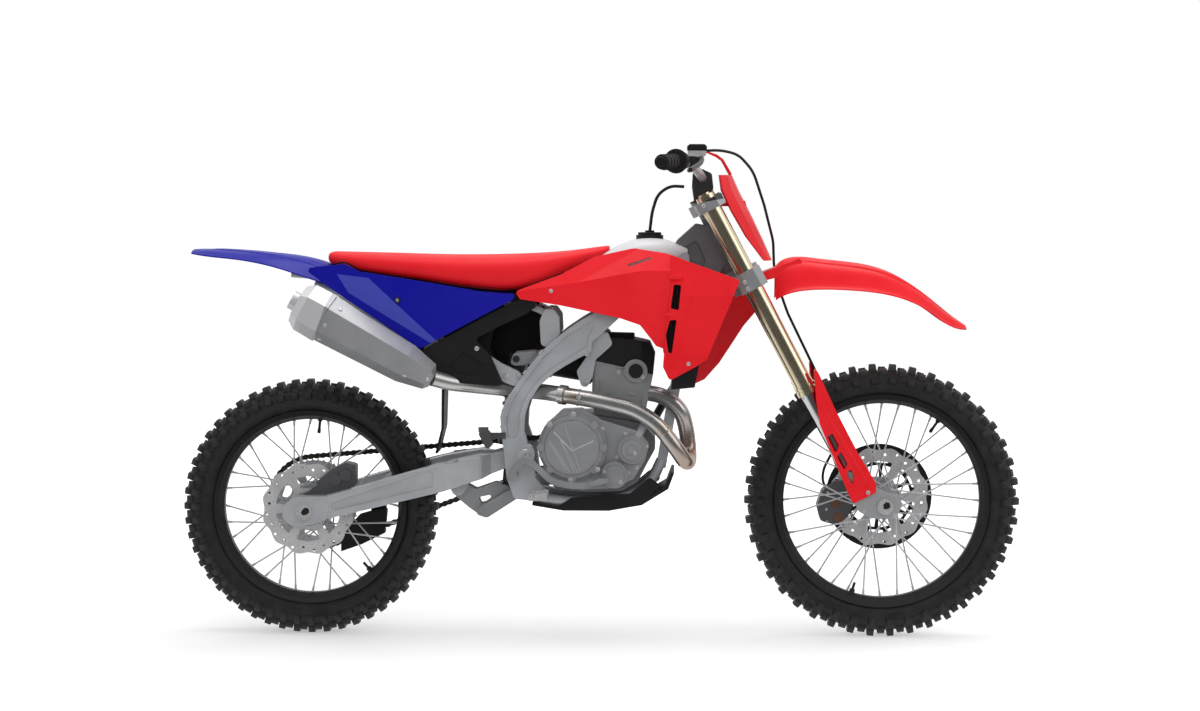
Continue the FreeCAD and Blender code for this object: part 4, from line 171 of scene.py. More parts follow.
class Finish(ShaderTree):
    """One material, kept in the table of finishes under its name."""

    def __init__(self, name):
        self.material = bpy.data.materials.new(name)
        self.material.use_nodes = True
        super().__init__(self.material.node_tree)
        finishes[name] = self.material

    def place(self):
        """Where a point of the surface is on the bike at rest."""
        return self.node("ShaderNodeTexCoord", {}, {}, "Object")

    def coordinate(self, letter):
        return self.node("ShaderNodeSeparateXYZ", {}, {"Vector": self.place()}, letter)

    def distance(self, place):
        """How far a point of the surface is from a place, in metres."""
        inputs = {0: self.place(), 1: place}
        return self.node("ShaderNodeVectorMath", {"operation": "DISTANCE"}, inputs, "Value")

    def noise(self, scale, detail, stretch=(1, 1, 1)):
        stretched = self.node("ShaderNodeMapping", {}, {"Vector": self.place(), "Scale": stretch})
        inputs = {"Vector": stretched, "Scale": scale, "Detail": detail}
        return self.node("ShaderNodeTexNoise", {}, inputs, "Fac")

    def mixed(self, share, first, second):
        """The first colour with the second over it by a share."""
        inputs = {"Factor": share, "A": colour(first), "B": colour(second)}
        return self.node("ShaderNodeMix", {"data_type": "RGBA"}, inputs, "Result")

    def clouded(self, cloud, shade, darkest_share):
        """A colour that is darker in patches."""
        darker = tuple(channel * darkest_share for channel in shade)
        return self.mixed(self.spread(cloud, 0, 1), darker, shade)

    def within(self, corners):
        """One inside an outline, given clockwise as seen from the right side, and nought outside it."""
        x = self.coordinate("X")
        z = self.coordinate("Z")
        inside = 1.0
        for first, second in zip(corners, corners[1:] + corners[:1]):
            run = second.x - first.x
            rise = second.z - first.z
            inside = ((x - first.x) * rise - (z - first.z) * run > 0) * inside
        return inside

    def banded(self, base, band):
        """A colour with one outlined part of another shade, where a band is given."""
        if not band:
            return base
        corners, shade = band
        return self.mixed(self.within(corners), base, shade)

    def gloss(self, signal, roughness, smoother, rougher):
        """A roughness that goes a little below and above its middle with a signal."""
        return self.spread(signal, roughness - smoother, roughness + rougher)

    def relief(self, height, depth, edge=0.0):
        """Bumps of a real depth in metres over softly rounded edges."""
        inputs = {"Height": height, "Distance": depth}
        if edge:
            inputs["Normal"] = self.node("ShaderNodeBevel", {"samples": 4}, {"Radius": edge}, "Normal")
        return self.node("ShaderNodeBump", {}, inputs, "Normal")

    def surface(self, **inputs):
        """The whole surface from one principled shader, with words joined by underscores for its sockets."""
        named = {key.replace("_", " "): value for key, value in inputs.items()}
        shader = self.node("ShaderNodeBsdfPrincipled", {}, named)
        self.finish("ShaderNodeOutputMaterial", shader)


# Kinds of finish

fine_edge = 0.5 * millimetre
soft_edge = 1.2 * millimetre
formed_edge = 2 * millimetre
frame_edge = 3 * millimetre
brushed_depth = 0.01 * millimetre
brushed_lengthwise = (0.05, 1, 1)
dust_share = 1.6
dust_lift = 0.003


def moulded_plastic(name, shade, roughness, light_shade=None, grain_depth=0.02 * millimetre, edge=soft_edge,
                    band=None):
    """Injection moulded plastic: faint waves in the shade and gloss, and a fine grain."""
    finish = Finish(name)
    waves = finish.noise(scale=9, detail=2)
    grain = finish.noise(scale=900, detail=2)
    base = finish.mixed(finish.spread(waves, 0, 1), shade, light_shade) if light_shade else shade
    finish.surface(
        Base_Color=colour(finish.banded(base, band)),
        Specular_IOR_Level=0.28,
        Roughness=finish.gloss(waves, roughness, smoother=0.04, rougher=0.06),
        Normal=finish.relief(grain, grain_depth, edge))


def cast_alloy(name, shade, roughness, metallic, pit_scale, pit_depth, edge=soft_edge):
    """Cast or blasted light alloy, a little darker in patches."""
    finish = Finish(name)
    pits = finish.noise(pit_scale, detail=3)
    finish.surface(
        Base_Color=finish.clouded(finish.noise(scale=14, detail=4), shade, darkest_share=0.82),
        Metallic=metallic,
        Roughness=finish.gloss(pits, roughness, smoother=0.08, rougher=0.1),
        Normal=finish.relief(pits, pit_depth, edge))


def brushed_metal(name, shade, roughness, metallic=1.0, stretch=(1, 1, 1), edge=fine_edge,
                  depth=brushed_depth, band=None):
    """Metal with fine lines, drawn out along one way where it is stretched."""
    finish = Finish(name)
    lines = finish.noise(scale=300, detail=2, stretch=stretch)
    base = finish.clouded(finish.noise(scale=20, detail=3), shade, darkest_share=0.85)
    finish.surface(
        Base_Color=finish.banded(base, band),
        Metallic=metallic,
        Roughness=finish.gloss(lines, roughness, smoother=0.05, rougher=0.07),
        Normal=finish.relief(lines, depth, edge))


def drawn_tube(name, shade, roughness, metallic, tints=()):
    """Smooth tube with a soft cloud in its gloss, and heat tints that fade out round some places."""
    finish = Finish(name)
    cloud = finish.noise(scale=20, detail=3)
    base = finish.clouded(cloud, shade, darkest_share=0.85)
    for place, reach, tint in tints:
        near = finish.spread(finish.distance(place), 1, 0, start=0, end=reach)
        base = finish.mixed(near * finish.spread(cloud, 0.7, 1.0), base, tint)
    finish.surface(
        Base_Color=base,
        Metallic=metallic,
        Roughness=finish.gloss(cloud, roughness, smoother=0.04, rougher=0.04))


def chromed_tube(name, shade, roughness, foot_corners, foot_shade, foot_metallic, foot_roughness):
    """A chromed tube with a dull cast foot."""
    finish = Finish(name)
    lines = finish.noise(scale=300, detail=2)
    foot = finish.within(foot_corners)
    duller = foot * (foot_roughness - roughness)
    base = finish.clouded(finish.noise(scale=20, detail=3), shade, darkest_share=0.85)
    finish.surface(
        Base_Color=finish.mixed(foot, base, foot_shade),
        Metallic=1.0 - foot * (1 - foot_metallic),
        Roughness=finish.gloss(lines, roughness, smoother=0.04, rougher=0.04) + duller,
        Normal=finish.relief(lines, brushed_depth))


def rubber(name, shade, roughness, grain_scale, grain_depth, edge=0.0, tread=None):
    """Rubber with a fine grain and a little dust, and a tyre's tread painted paler than its wall: a painted
    sheen on the knobs.
    """
    finish = Finish(name)
    grain = finish.noise(grain_scale, detail=4)
    dust = finish.noise(scale=25, detail=5)
    dusty = tuple(channel * dust_share + dust_lift for channel in shade)
    base = finish.mixed(finish.spread(dust, 0, 1, start=0.4, end=0.75), shade, dusty)
    if tread:
        tread_sheen_shade, centre, wall_radius, tread_radius = tread
        # The tread's tops are painted paler than the wall, a painted sheen on the knobs' tops.
        tread_sheen = finish.spread(finish.distance(centre), 0, 1, start=wall_radius, end=tread_radius)
        base = finish.mixed(tread_sheen, base, tread_sheen_shade)
    finish.surface(
        Base_Color=base,
        Specular_IOR_Level=0.3,
        Roughness=finish.gloss(dust, roughness, smoother=0.06, rougher=0.1),
        Normal=finish.relief(grain, grain_depth, edge))


def vinyl(name, shade, light_shade):
    """The seat's cover: a pebbled skin."""
    finish = Finish(name)
    inputs = {"Vector": finish.place(), "Scale": 420.0}
    cells = finish.node("ShaderNodeTexVoronoi", {"feature": "DISTANCE_TO_EDGE"}, inputs, "Distance")
    cloud = finish.noise(scale=11, detail=3)
    finish.surface(
        Base_Color=finish.mixed(finish.spread(cloud, 0, 1), shade, light_shade),
        Specular_IOR_Level=0.3,
        Roughness=finish.gloss(cloud, 0.52, smoother=0.06, rougher=0.06),
        Normal=finish.relief(finish.spread(cells, 0, 1, start=0, end=0.25), 0.12 * millimetre))


# The bike's own finishes

red = (0.84, 0.006, 0.014)
light_red = (0.90, 0.010, 0.020)
blue = (0.002, 0.0022, 0.34)
band_blue = (0.055, 0.068, 0.46)
tank_silver = (0.74, 0.73, 0.75)
black = (0.010, 0.010, 0.011)
light_black = (0.014, 0.014, 0.016)
spring_black = (0.05, 0.05, 0.055)
tyre_black = (0.014, 0.014, 0.0145)
# The paler shade of the tyres' tread, a painted sheen.
tread_sheen_black = (0.050, 0.050, 0.051)
hose_black = (0.010, 0.010, 0.0105)
heat_bronze = (0.36, 0.19, 0.10)
heat_straw = (0.50, 0.38, 0.26)

blue_band = side_view([(85, 938), (166, 929), (344, 767), (333, 760), (114, 892)])
muffler_cap = side_view([(-90, 960), (104, 960), (38, 782), (20, 740), (-90, 740)])
reservoir_side = side_view([(965, 1250), (1028, 1250), (1028, 1236), (965, 1236)])
riser_side = side_view([(960, 1216), (1070, 1216), (1070, 1132), (960, 1112)])
fork_foot = side_view([(1340, 440), (1470, 440), (1580, 400), (1580, 250), (1340, 250)])
header_tints = [
    (spot(687, -112, 626), 30 * millimetre, heat_straw),
    (spot(915, -114, 550), 35 * millimetre, heat_straw),
    (spot(982, -60, 450), 150 * millimetre, heat_bronze),
]
# How far below the tyre's tip the tread's painted sheen starts and where it is whole.
wall_below_tip = 27 * millimetre
tread_below_tip = 5 * millimetre


def make_plastics():
    moulded_plastic("red_plastic", red, roughness=0.36, light_shade=light_red)
    moulded_plastic("blue_plastic", blue, roughness=0.34, band=(blue_band, band_blue))
    moulded_plastic("black_plastic", black, roughness=0.55, light_shade=light_black,
                    grain_depth=0.16 * millimetre)
    moulded_plastic("tank_alloy", tank_silver, roughness=0.34)
    moulded_plastic("spring_paint", spring_black, roughness=0.35,
                    grain_depth=0.01 * millimetre, edge=fine_edge)
    vinyl("seat_vinyl", red, light_red)


# Name, shade, roughness, metallic, scale and depth of the pits, and rounding of the edges.
cast_alloys = [
    ("frame_silver", (0.47, 0.49, 0.52), 0.40, 0.22, 500, 0.25, frame_edge),
    # The frame's head: a darker copy of the frame's silver, painted shade where the head lies in shadow.
    ("shaded_head_silver", (0.17, 0.17, 0.178), 0.46, 0.3, 500, 0.25, frame_edge),
    ("bright_alloy", (0.60, 0.61, 0.63), 0.32, 0.55, 700, 0.1, fine_edge),
    ("clamp_alloy", (0.36, 0.37, 0.385), 0.36, 0.35, 600, 0.1, soft_edge),
    ("engine_grey", (0.135, 0.138, 0.145), 0.48, 0.2, 450, 0.3, soft_edge),
    ("cover_grey", (0.36, 0.365, 0.375), 0.36, 0.35, 600, 0.1, soft_edge),
    ("black_metal", (0.016, 0.016, 0.018), 0.42, 0.2, 500, 0.1, soft_edge),
    ("head_cover", (0.018, 0.019, 0.021), 0.5, 0.2, 450, 0.2, soft_edge),
    ("cylinder_grey", (0.33, 0.335, 0.345), 0.44, 0.3, 450, 0.3, soft_edge),
    ("caliper_grey", (0.13, 0.132, 0.138), 0.42, 0.5, 600, 0.2, soft_edge),
]


def make_metals():
    for name, shade, roughness, metallic, pit_scale, pit_depth, edge in cast_alloys:
        cast_alloy(name, shade, roughness, metallic, pit_scale, pit_depth * millimetre, edge)
    brushed_metal("swingarm_silver", (0.50, 0.515, 0.54), roughness=0.36, metallic=0.25,
                  stretch=brushed_lengthwise, edge=frame_edge)
    brushed_metal("muffler_alloy", (0.40, 0.405, 0.42), roughness=0.34, metallic=0.35,
                  stretch=brushed_lengthwise, edge=formed_edge, depth=0.004 * millimetre,
                  band=(muffler_cap, (0.66, 0.66, 0.68)))
    brushed_metal("bronze", (0.22, 0.11, 0.07), roughness=0.35, metallic=0.5)
    brushed_metal("lever_black", (0.045, 0.045, 0.047), roughness=0.36, metallic=0.5, edge=soft_edge,
                  band=(reservoir_side, (0.62, 0.62, 0.64)))
    brushed_metal("riser_alloy", (0.40, 0.41, 0.425), roughness=0.36, metallic=0.5, edge=soft_edge,
                  band=(riser_side, (0.060, 0.060, 0.063)))
    brushed_metal("disc_steel", (0.72, 0.72, 0.73), roughness=0.30, metallic=0.4, depth=0.004 * millimetre)
    brushed_metal("steel", (0.66, 0.66, 0.67), roughness=0.28, metallic=0.45, depth=0.002 * millimetre)
    brushed_metal("dark_steel", (0.10, 0.095, 0.09), roughness=0.42)
    drawn_tube("header_steel", (0.64, 0.63, 0.62), roughness=0.24, metallic=0.85, tints=header_tints)
    drawn_tube("fork_gold", (0.86, 0.75, 0.53), roughness=0.17, metallic=0.96)
    chromed_tube("chrome", (0.72, 0.73, 0.75), roughness=0.09, foot_corners=fork_foot,
                 foot_shade=(0.40, 0.41, 0.42), foot_metallic=0.4, foot_roughness=0.47)


def make_rubbers():
    for tyre, centre in (("rear_tyre", rear_centre), ("front_tyre", front_centre)):
        tip = radius_of(tyre)
        rubber(tyre + "_rubber", tyre_black, roughness=0.52, grain_scale=300, grain_depth=0.4 * millimetre,
               tread=(tread_sheen_black, centre, tip - wall_below_tip, tip - tread_below_tip))
    rubber("black_rubber", hose_black, roughness=0.55, grain_scale=600, grain_depth=0.1 * millimetre,
           edge=fine_edge)


make_plastics()
make_metals()
make_rubbers()

slot_finishes = {
    "frame_silver": "frame_silver", "swingarm_silver": "swingarm_silver", "shock_steel": "spring_paint",
    "linkage_metal": "clamp_alloy", "engine_grey": "engine_grey", "cover_grey": "cover_grey",
    "head_cover_black": "head_cover", "header_steel": "header_steel", "muffler_alloy": "muffler_alloy",
    "radiator_alloy": "black_metal", "seat_cover": "seat_vinyl", "tank_silver": "tank_alloy",
    "cap_black": "black_plastic", "red_plastic": "red_plastic", "plate_red": "red_plastic",
    "blue_plastic": "blue_plastic", "black_plastic": "black_plastic", "skid_plastic": "black_plastic",
    "flap_rubber": "black_rubber", "peg_steel": "steel", "pedal_alloy": "clamp_alloy",
    "guide_plastic": "black_plastic", "chain_steel": "dark_steel", "sprocket_steel": "steel",
    "sprocket_alloy": "bright_alloy", "caliper_metal": "cover_grey", "axle_steel": "steel",
    "clamp_alloy": "clamp_alloy", "fork_gold": "fork_gold", "slider_chrome": "chrome",
    "guard_black": "black_plastic", "bar_silver": "bright_alloy", "grip_rubber": "black_rubber",
    "lever_alloy": "clamp_alloy", "hose_rubber": "black_rubber", "tyre_rubber": "front_tyre_rubber",
    "rim_black": "black_metal", "hub_alloy": "bright_alloy", "disc_steel": "disc_steel",
}

# Nodes that differ from the rest of their slot; the frame's head gets a darker copy of the frame's silver,
# painted shade.
own_finishes = {
    "frame_head": "shaded_head_silver", "front_caliper": "caliper_grey", "rear_brake": "caliper_grey",
    "bar_levers": "lever_black", "upper_clamp": "riser_alloy", "cylinder": "cylinder_grey",
    "rear_tyre": "rear_tyre_rubber",
}


def dress_nodes():
    """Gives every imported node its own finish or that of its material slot."""
    for part in frame["record"]["subparts"]:
        piece = nodes[part["node"]]
        finish = own_finishes.get(part["node"], slot_finishes[part["material_slot"]])
        piece.data.materials.clear()
        piece.data.materials.append(finishes[finish])


dress_nodes()

# Making pieces


class Shape:
    """A mesh under construction that becomes one named piece on a body."""

    def __init__(self):
        self.points = []
        self.faces = []

    def add(self, points, faces):
        start = len(self.points)
        self.points += points
        self.faces += [tuple(start + index for index in face) for face in faces]

    def skin(self, rings, looped=False):
        """A closed skin over rings of points: capped at both ends, or joined end to start."""
        count = len(rings[0])
        faces = []
        for row in range(len(rings) if looped else len(rings) - 1):
            after = (row + 1) % len(rings)
            for index in range(count):
                beside = (index + 1) % count
                faces.append((row * count + index, row * count + beside,
                              after * count + beside, after * count + index))
        if not looped:
            faces.append(tuple(range(count)))
            faces.append(tuple(range((len(rings) - 1) * count, len(rings) * count)))
        self.add([point for ring in rings for point in ring], faces)

    def turned(self, centre, axis, profile, sides):
        """A solid turned about an axis, from pairs of millimetres out from it and along it."""
        axis = axis.normalized()
        first = axis.orthogonal().normalized()
        second = axis.cross(first)
        rings = []
        for radius, along in profile:
            middle = centre + axis * (along * millimetre)
            ring = []
            for index in range(sides):
                turn = 2 * math.pi * index / sides
                out = first * math.cos(turn) + second * math.sin(turn)
                ring.append(middle + out * (radius * millimetre))
            rings.append(ring)
        self.skin(rings)

    def piece(self, name, body, finish, slot, replaced=(), bevel=0.0, sharp=35):
        """The finished object, riding on its body, with its sharp edges rounded by a bevel in millimetres."""
        mesh = bpy.data.meshes.new(name)
        mesh.from_pydata(self.points, [], self.faces)
        work = bmesh.new()
        work.from_mesh(mesh)
        bmesh.ops.recalc_face_normals(work, faces=work.faces)
        work.to_mesh(mesh)
        work.free()
        made = bpy.data.objects.new(name, mesh)
        bpy.context.scene.collection.objects.link(made)
        if bevel:
            rounding = made.modifiers.new("rounding", "BEVEL")
            rounding.width = bevel * millimetre
            rounding.segments = 2
            rounding.limit_method = "ANGLE"
            rounding.angle_limit = math.radians(sharp)
            settle(made)
        smooth(made.data, sharp)
        hand_over(made, body, finish, replaced)


def settle(piece):
    """Turns a piece's modifiers into its own mesh."""
    graph = bpy.context.evaluated_depsgraph_get()
    mesh = bpy.data.meshes.new_from_object(piece.evaluated_get(graph))
    piece.modifiers.clear()
    piece.data = mesh


def smooth(mesh, sharp):
    mesh.shade_smooth()
    mesh.set_sharp_from_angle(angle=math.radians(sharp))


def hand_over(piece, body, finish, replaced):
    """Gives a piece its finish, the nodes that it stands for and its body."""
    piece.data.materials.clear()
    piece.data.materials.append(finishes[finish])
    if replaced:
        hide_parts(*replaced)
    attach(piece, body)


skins = {}


def skin_of(name):
    """The surface of a node or piece, for finding places on it."""
    if name not in skins:
        piece = nodes[name] if name in nodes else bpy.data.objects[name]
        corners = [vertex.co.copy() for vertex in piece.data.vertices]
        faces = [tuple(face.vertices) for face in piece.data.polygons]
        skins[name] = BVHTree.FromPolygons(corners, faces)
    return skins[name]


def landed(names, start, direction):
    """Where a line first meets one of the surfaces, or the nearest place on the first, and the way out."""
    hits = [skin_of(name).ray_cast(start, direction) for name in names.split()]
    hits = [hit for hit in hits if hit[0] is not None]
    if hits:
        place, outward, _, _ = min(hits, key=lambda hit: hit[3])
    else:
        place, outward, _, _ = skin_of(names.split()[0]).find_nearest(start)
    if outward.dot(start - place) < 0:
        outward = -outward
    return place, outward


def landed_from_side(names, side, along, above):
    """The same for a line that comes straight from one side of the bike."""
    return landed(names, spot(along, side * beyond_side, above), to_left * -side)


def walked(points, step):
    """Places at even steps in metres along a smooth line through the points."""
    places = []
    for index in range(len(points) - 1):
        before = points[max(index - 1, 0)]
        first = points[index]
        second = points[index + 1]
        after = points[min(index + 2, len(points) - 1)]
        count = max(1, round((second - first).length / step))
        for part in range(count):
            t = part / count
            places.append(0.5 * (2 * first + (second - before) * t
                                 + (2 * before - 5 * first + 4 * second - after) * t ** 2
                                 + (3 * first - before - 3 * second + after) * t ** 3))
    return places + [points[-1]]


taper_start_share = 0.6
strip_section_shares = [
    (-0.5, -0.4), (-0.5, 0.0), (-0.3, 0.75), (0.0, 1.0), (0.3, 0.75), (0.5, 0.0), (0.5, -0.4),
]


def strip(shape, name, points, direction, width, height, step=4, ripple=0.0, taper=False):
    """A low rounded strip along a surface: a ridge, a seam, or a weld bead where it ripples."""
    walk = walked(points, step * millimetre)
    if direction:
        laid = [landed(name, point, direction) for point in walk]
    else:
        laid = [skin_of(name).find_nearest(point)[:2] for point in walk]
    rings = []
    last = len(laid) - 1
    for index, (place, outward) in enumerate(laid):
        ahead = (laid[min(index + 1, last)][0] - laid[max(index - 1, 0)][0]).normalized()
        aside = ahead.cross(outward).normalized()
        swell = 1 + ripple * (index % 2)
        if taper:
            swell *= math.sin(math.pi * (index + taper_start_share) / (last + 2 * taper_start_share)) ** 0.5
        wide = aside * (width * swell * millimetre)
        tall = outward * (height * swell * millimetre)
        rings.append([place + wide * a + tall * b for a, b in strip_section_shares])
    shape.skin(rings)


def side_strip(shape, name, pairs, side, width, height, **more):
    """A strip laid on what shows from one side."""
    strip(shape, name, side_view(pairs, side * beyond_side), to_left * -side, width, height, **more)


def panel(shape, pairs, first, second):
    """A flat plate with an outline in the side view, between two places across."""
    shape.skin([side_view(pairs, first), side_view(pairs, second)])


def bar(shape, start, end, radius):
    length = (end - start).length / millimetre
    shape.turned(start, end - start, [(radius, 0), (radius, length)], sides=12)


hexagon_flange_shares = [(1.5, -0.3), (1.5, 0.3), (1.35, 0.45)]
hexagon_top_shares = [(1.05, 0.3), (1.05, 1.1), (0.9, 1.3), (0.45, 1.3), (0.4, 0.8)]
socket_head_shares = [(1.3, -0.3), (1.3, 0.7), (1.1, 0.9), (0.55, 0.9), (0.5, 0.4)]
dome_head_shares = [(1.2, -0.3), (1.2, 0.1), (0.95, 0.5), (0.5, 0.68), (0.2, 0.70)]

# The profiles of each kind of head, with the number of their sides.
bolt_heads = {
    "hexagon": [(hexagon_flange_shares, 20), (hexagon_top_shares, 6)],
    "socket": [(socket_head_shares, 16)],
    "dome": [(dome_head_shares, 16)],
}


def bolt(shape, place, outward, radius, kind):
    """A flanged hexagon, socket or domed head that stands on a surface, by its radius in millimetres."""
    for shares, sides in bolt_heads[kind]:
        shape.turned(place, outward, [(a * radius, b * radius) for a, b in shares], sides)


# Tyres and wheels

rings_a_pitch = 4
knob_height = 15 * millimetre
knob_root = 3
knob_foot_share = 1.16
knob_top_share = 0.94

# Rows of knobs: share of the half width, drop below the crown, lean outward in degrees, length, breadth and
# height in millimetres, and the share of a pitch by which the row is shifted.
knob_rows = [
    (0.20, 2, 3, 17, 17, 17, 0.0),
    (0.56, 9, 24, 19, 15, 14, 0.5),
    (0.82, 27, 58, 17, 15, 10, 0.0),
]

# The carcass from the rim's edge outward: millimetres, then shares of the wall's height and the half width.
bead_steps = [(-7, -6), (2, -5), (5, 1), (10, 4.5), (10.8, 5.8), (12.5, 6.0), (13.5, 5.5)]
wall_shares = [
    (0.34, 0.80), (0.50, 0.845), (0.53, 0.865), (0.56, 0.845), (0.70, 0.80), (0.84, 0.68), (0.94, 0.48),
]
crown_drop = 0.8 * millimetre
crown_share = 0.24


def round_the_wheel(centre, radius, aside, turn):
    return centre + Vector((radius * math.cos(turn), aside, radius * math.sin(turn)))


def knob(shape, centre, turn, radius, row, half, side):
    """One tapered block of tread that stands on the carcass."""
    share, drop, lean, length, breadth, height, _ = row
    out = Vector((math.cos(turn), 0, math.sin(turn)))
    ahead = Vector((-math.sin(turn), 0, math.cos(turn)))
    tilt = math.radians(lean)
    rise = out * math.cos(tilt) + to_left * (side * math.sin(tilt))
    aside = to_left * math.cos(tilt) - out * (side * math.sin(tilt))
    foot = centre + out * (radius - drop * millimetre) + to_left * (side * share * half)
    points = []
    for level, swell in ((-knob_root, knob_foot_share), (height, knob_top_share)):
        for a, b in square_corners:
            points.append(foot + rise * (level * millimetre) + ahead * (a * swell * length / 2 * millimetre)
                          + aside * (b * swell * breadth / 2 * millimetre))
    shape.add(points, [(0, 1, 2, 3), (4, 5, 6, 7), (0, 1, 5, 4), (1, 2, 6, 5), (2, 3, 7, 6), (3, 0, 4, 7)])


def carcass_profile(crown, half, bead, bead_half):
    """The carcass from bead to bead, as pairs of a radius and a distance from the middle."""
    wall = crown - bead
    near = [(bead + out * millimetre, bead_half + aside * millimetre) for out, aside in bead_steps]
    near += [(bead + wall * up, half * aside) for up, aside in wall_shares]
    near.append((crown - crown_drop, half * crown_share))
    return near + [(crown, 0)] + [(radius, -aside) for radius, aside in reversed(near)]


def make_tyre(wheel, centre, pitches):
    """A carcass with its knobs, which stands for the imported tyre."""
    node = wheel + "_tyre"
    rim = wheel + "_rim"
    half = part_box(node)[1].y
    rim_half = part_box(rim)[1].y
    crown = radius_of(node) - knob_height
    profile = carcass_profile(crown, half, radius_of(rim), rim_half)
    shape = Shape()
    count = pitches * rings_a_pitch
    rings = []
    for index in range(count):
        turn = 2 * math.pi * index / count
        rings.append([round_the_wheel(centre, radius, aside, turn) for radius, aside in profile])
    shape.skin(rings, looped=True)
    for row in knob_rows:
        for index in range(pitches):
            turn = 2 * math.pi * (index + row[-1]) / pitches
            for side in both_sides:
                knob(shape, centre, turn, crown, row, half, side)
    shape.piece(wheel + "_knobbly_tyre", wheel + "_wheel", node + "_rubber", "tyre_rubber", replaced=[node],
                bevel=1.4, sharp=40)


make_tyre("rear", rear_centre, 52)
make_tyre("front", front_centre, 42)

rim_depth = 24 * millimetre
nipple_profile = [(4.2, 0), (4.2, 3), (3.0, 4.5), (3.0, 14), (2.4, 16)]
nipple_seat = 1 * millimetre
flange_aside = 33 * millimetre
flange_share = 0.9
spokes_crossed = 3


def make_nipples(wheel, centre, count, flange_radius):
    """The nipples that hold the spokes in the rim, each in line with its spoke."""
    reach = radius_of(wheel + "_rim") - rim_depth
    lead = spokes_crossed * 4 * math.pi / count
    shape = Shape()
    for index in range(count):
        side = 1 if index % 2 else -1
        trail = 1 if index % 4 < 2 else -1
        turn = 2 * math.pi * index / count
        first = round_the_wheel(centre, reach, side * nipple_seat, turn)
        hub = round_the_wheel(centre, flange_radius * flange_share, side * flange_aside, turn + trail * lead)
        inward = (hub - first).normalized()
        shape.turned(first - inward * nipple_seat, inward, nipple_profile, sides=10)
    shape.piece(wheel + "_nipples", wheel + "_wheel", "bright_alloy", "hub_alloy")


make_nipples("rear", rear_centre, 32, 60 * millimetre)
make_nipples("front", front_centre, 36, 42 * millimetre)

valve_profile = [(6.5, 0), (6.5, 6), (3.6, 7), (3.6, 26), (4.6, 27), (4.6, 37), (3.0, 39)]
lock_profile = [(8.5, 0), (8.5, 3), (7.0, 4), (7.0, 11), (3.6, 12), (3.6, 28), (2.8, 29)]
valve_seat = 2 * millimetre


def make_valve(wheel, centre, valve_degrees, lock_degrees):
    """The inner tube's valve with its cap, and the bolt of the rim lock."""
    reach = radius_of(wheel + "_rim") - rim_depth + valve_seat
    shape = Shape()
    for degrees, profile in ((valve_degrees, valve_profile), (lock_degrees, lock_profile)):
        first = round_the_wheel(centre, reach, 0, math.radians(degrees))
        shape.turned(first, centre - first, profile, sides=14)
    shape.piece(wheel + "_valve", wheel + "_wheel", "black_metal", "rim_black")


make_valve("rear", rear_centre, 84, -48)
make_valve("front", front_centre, 55, -107)

# Chain

chain_pitch = 15.875 * millimetre
chain_from_middle = 66 * millimetre
rear_teeth = 48
drive_teeth = 13
roller_profile = [(4.8, -3.0), (5.1, -2.4), (5.1, 2.4), (4.8, 3.0)]
pin_profile = [(2.6, -7.8), (2.6, 7.8)]
inner_plate_aside = 4.1 * millimetre
outer_plate_aside = 6.4 * millimetre
plate_thickness = 1.9 * millimetre
plate_end_radius = 7.0 * millimetre
plate_waist_share = 0.68
plate_end_degrees = 200
plate_end_steps = 6


def pitch_radius(teeth):
    return chain_pitch / 2 / math.sin(math.pi / teeth)


def chain_pins():
    """The chain's pins, evenly spaced along its two straight runs and round both sprockets."""
    low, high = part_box("drive_sprocket")
    drive = Vector(((low.x + high.x) / 2, chain_from_middle, (low.z + high.z) / 2))
    rear = rear_centre + to_left * chain_from_middle
    big = pitch_radius(rear_teeth)
    small = pitch_radius(drive_teeth)
    line = drive - rear
    lean = math.asin((big - small) / line.length)
    heading = math.atan2(line.z, line.x)
    run = math.sqrt(line.length ** 2 - (big - small) ** 2)
    low_turn = heading - math.pi / 2 + lean
    top_turn = heading + math.pi / 2 - lean
    low_rear = round_the_wheel(rear, big, 0, low_turn)
    low_drive = round_the_wheel(drive, small, 0, low_turn)
    top_drive = round_the_wheel(drive, small, 0, top_turn)
    top_rear = round_the_wheel(rear, big, 0, top_turn)
    drive_arc = (math.pi - 2 * lean) * small
    whole = 2 * run + drive_arc + (math.pi + 2 * lean) * big
    count = 2 * round(whole / chain_pitch / 2)
    pins = []
    for index in range(count):
        gone = index * whole / count
        if gone < run:
            pins.append(low_rear.lerp(low_drive, gone / run))
        elif gone < run + drive_arc:
            pins.append(round_the_wheel(drive, small, 0, low_turn + (gone - run) / small))
        elif gone < 2 * run + drive_arc:
            pins.append(top_drive.lerp(top_rear, (gone - run - drive_arc) / run))
        else:
            pins.append(round_the_wheel(rear, big, 0, top_turn + (gone - 2 * run - drive_arc) / big))
    return pins


def plate(shape, first, second, aside):
    """A waisted chain plate between two pins."""
    ahead = (second - first).normalized()
    above = Vector((-ahead.z, 0, ahead.x))
    outline = []
    for pin, facing in ((second, 1), (first, -1)):
        for step in range(plate_end_steps + 1):
            turn = math.radians(plate_end_degrees * (step / plate_end_steps - 0.5))
            out = ahead * math.cos(turn) + above * math.sin(turn)
            outline.append(pin + out * plate_end_radius * facing)
        outline.append((first + second) / 2 + above * plate_end_radius * plate_waist_share * facing)
    shape.skin([[point + to_left * (aside + half) for point in outline]
                for half in (-plate_thickness / 2, plate_thickness / 2)])


def make_chain():
    """Rollers, pins and plates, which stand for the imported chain."""
    shape = Shape()
    pins = chain_pins()
    for index, pin in enumerate(pins):
        after = pins[(index + 1) % len(pins)]
        shape.turned(pin, to_left, roller_profile, sides=12)
        shape.turned(pin, to_left, pin_profile, sides=8)
        for side in both_sides:
            plate(shape, pin, after, side * (inner_plate_aside if index % 2 else outer_plate_aside))
    shape.piece("chain_links", "chassis", "dark_steel", "chain_steel", replaced=["chain"])


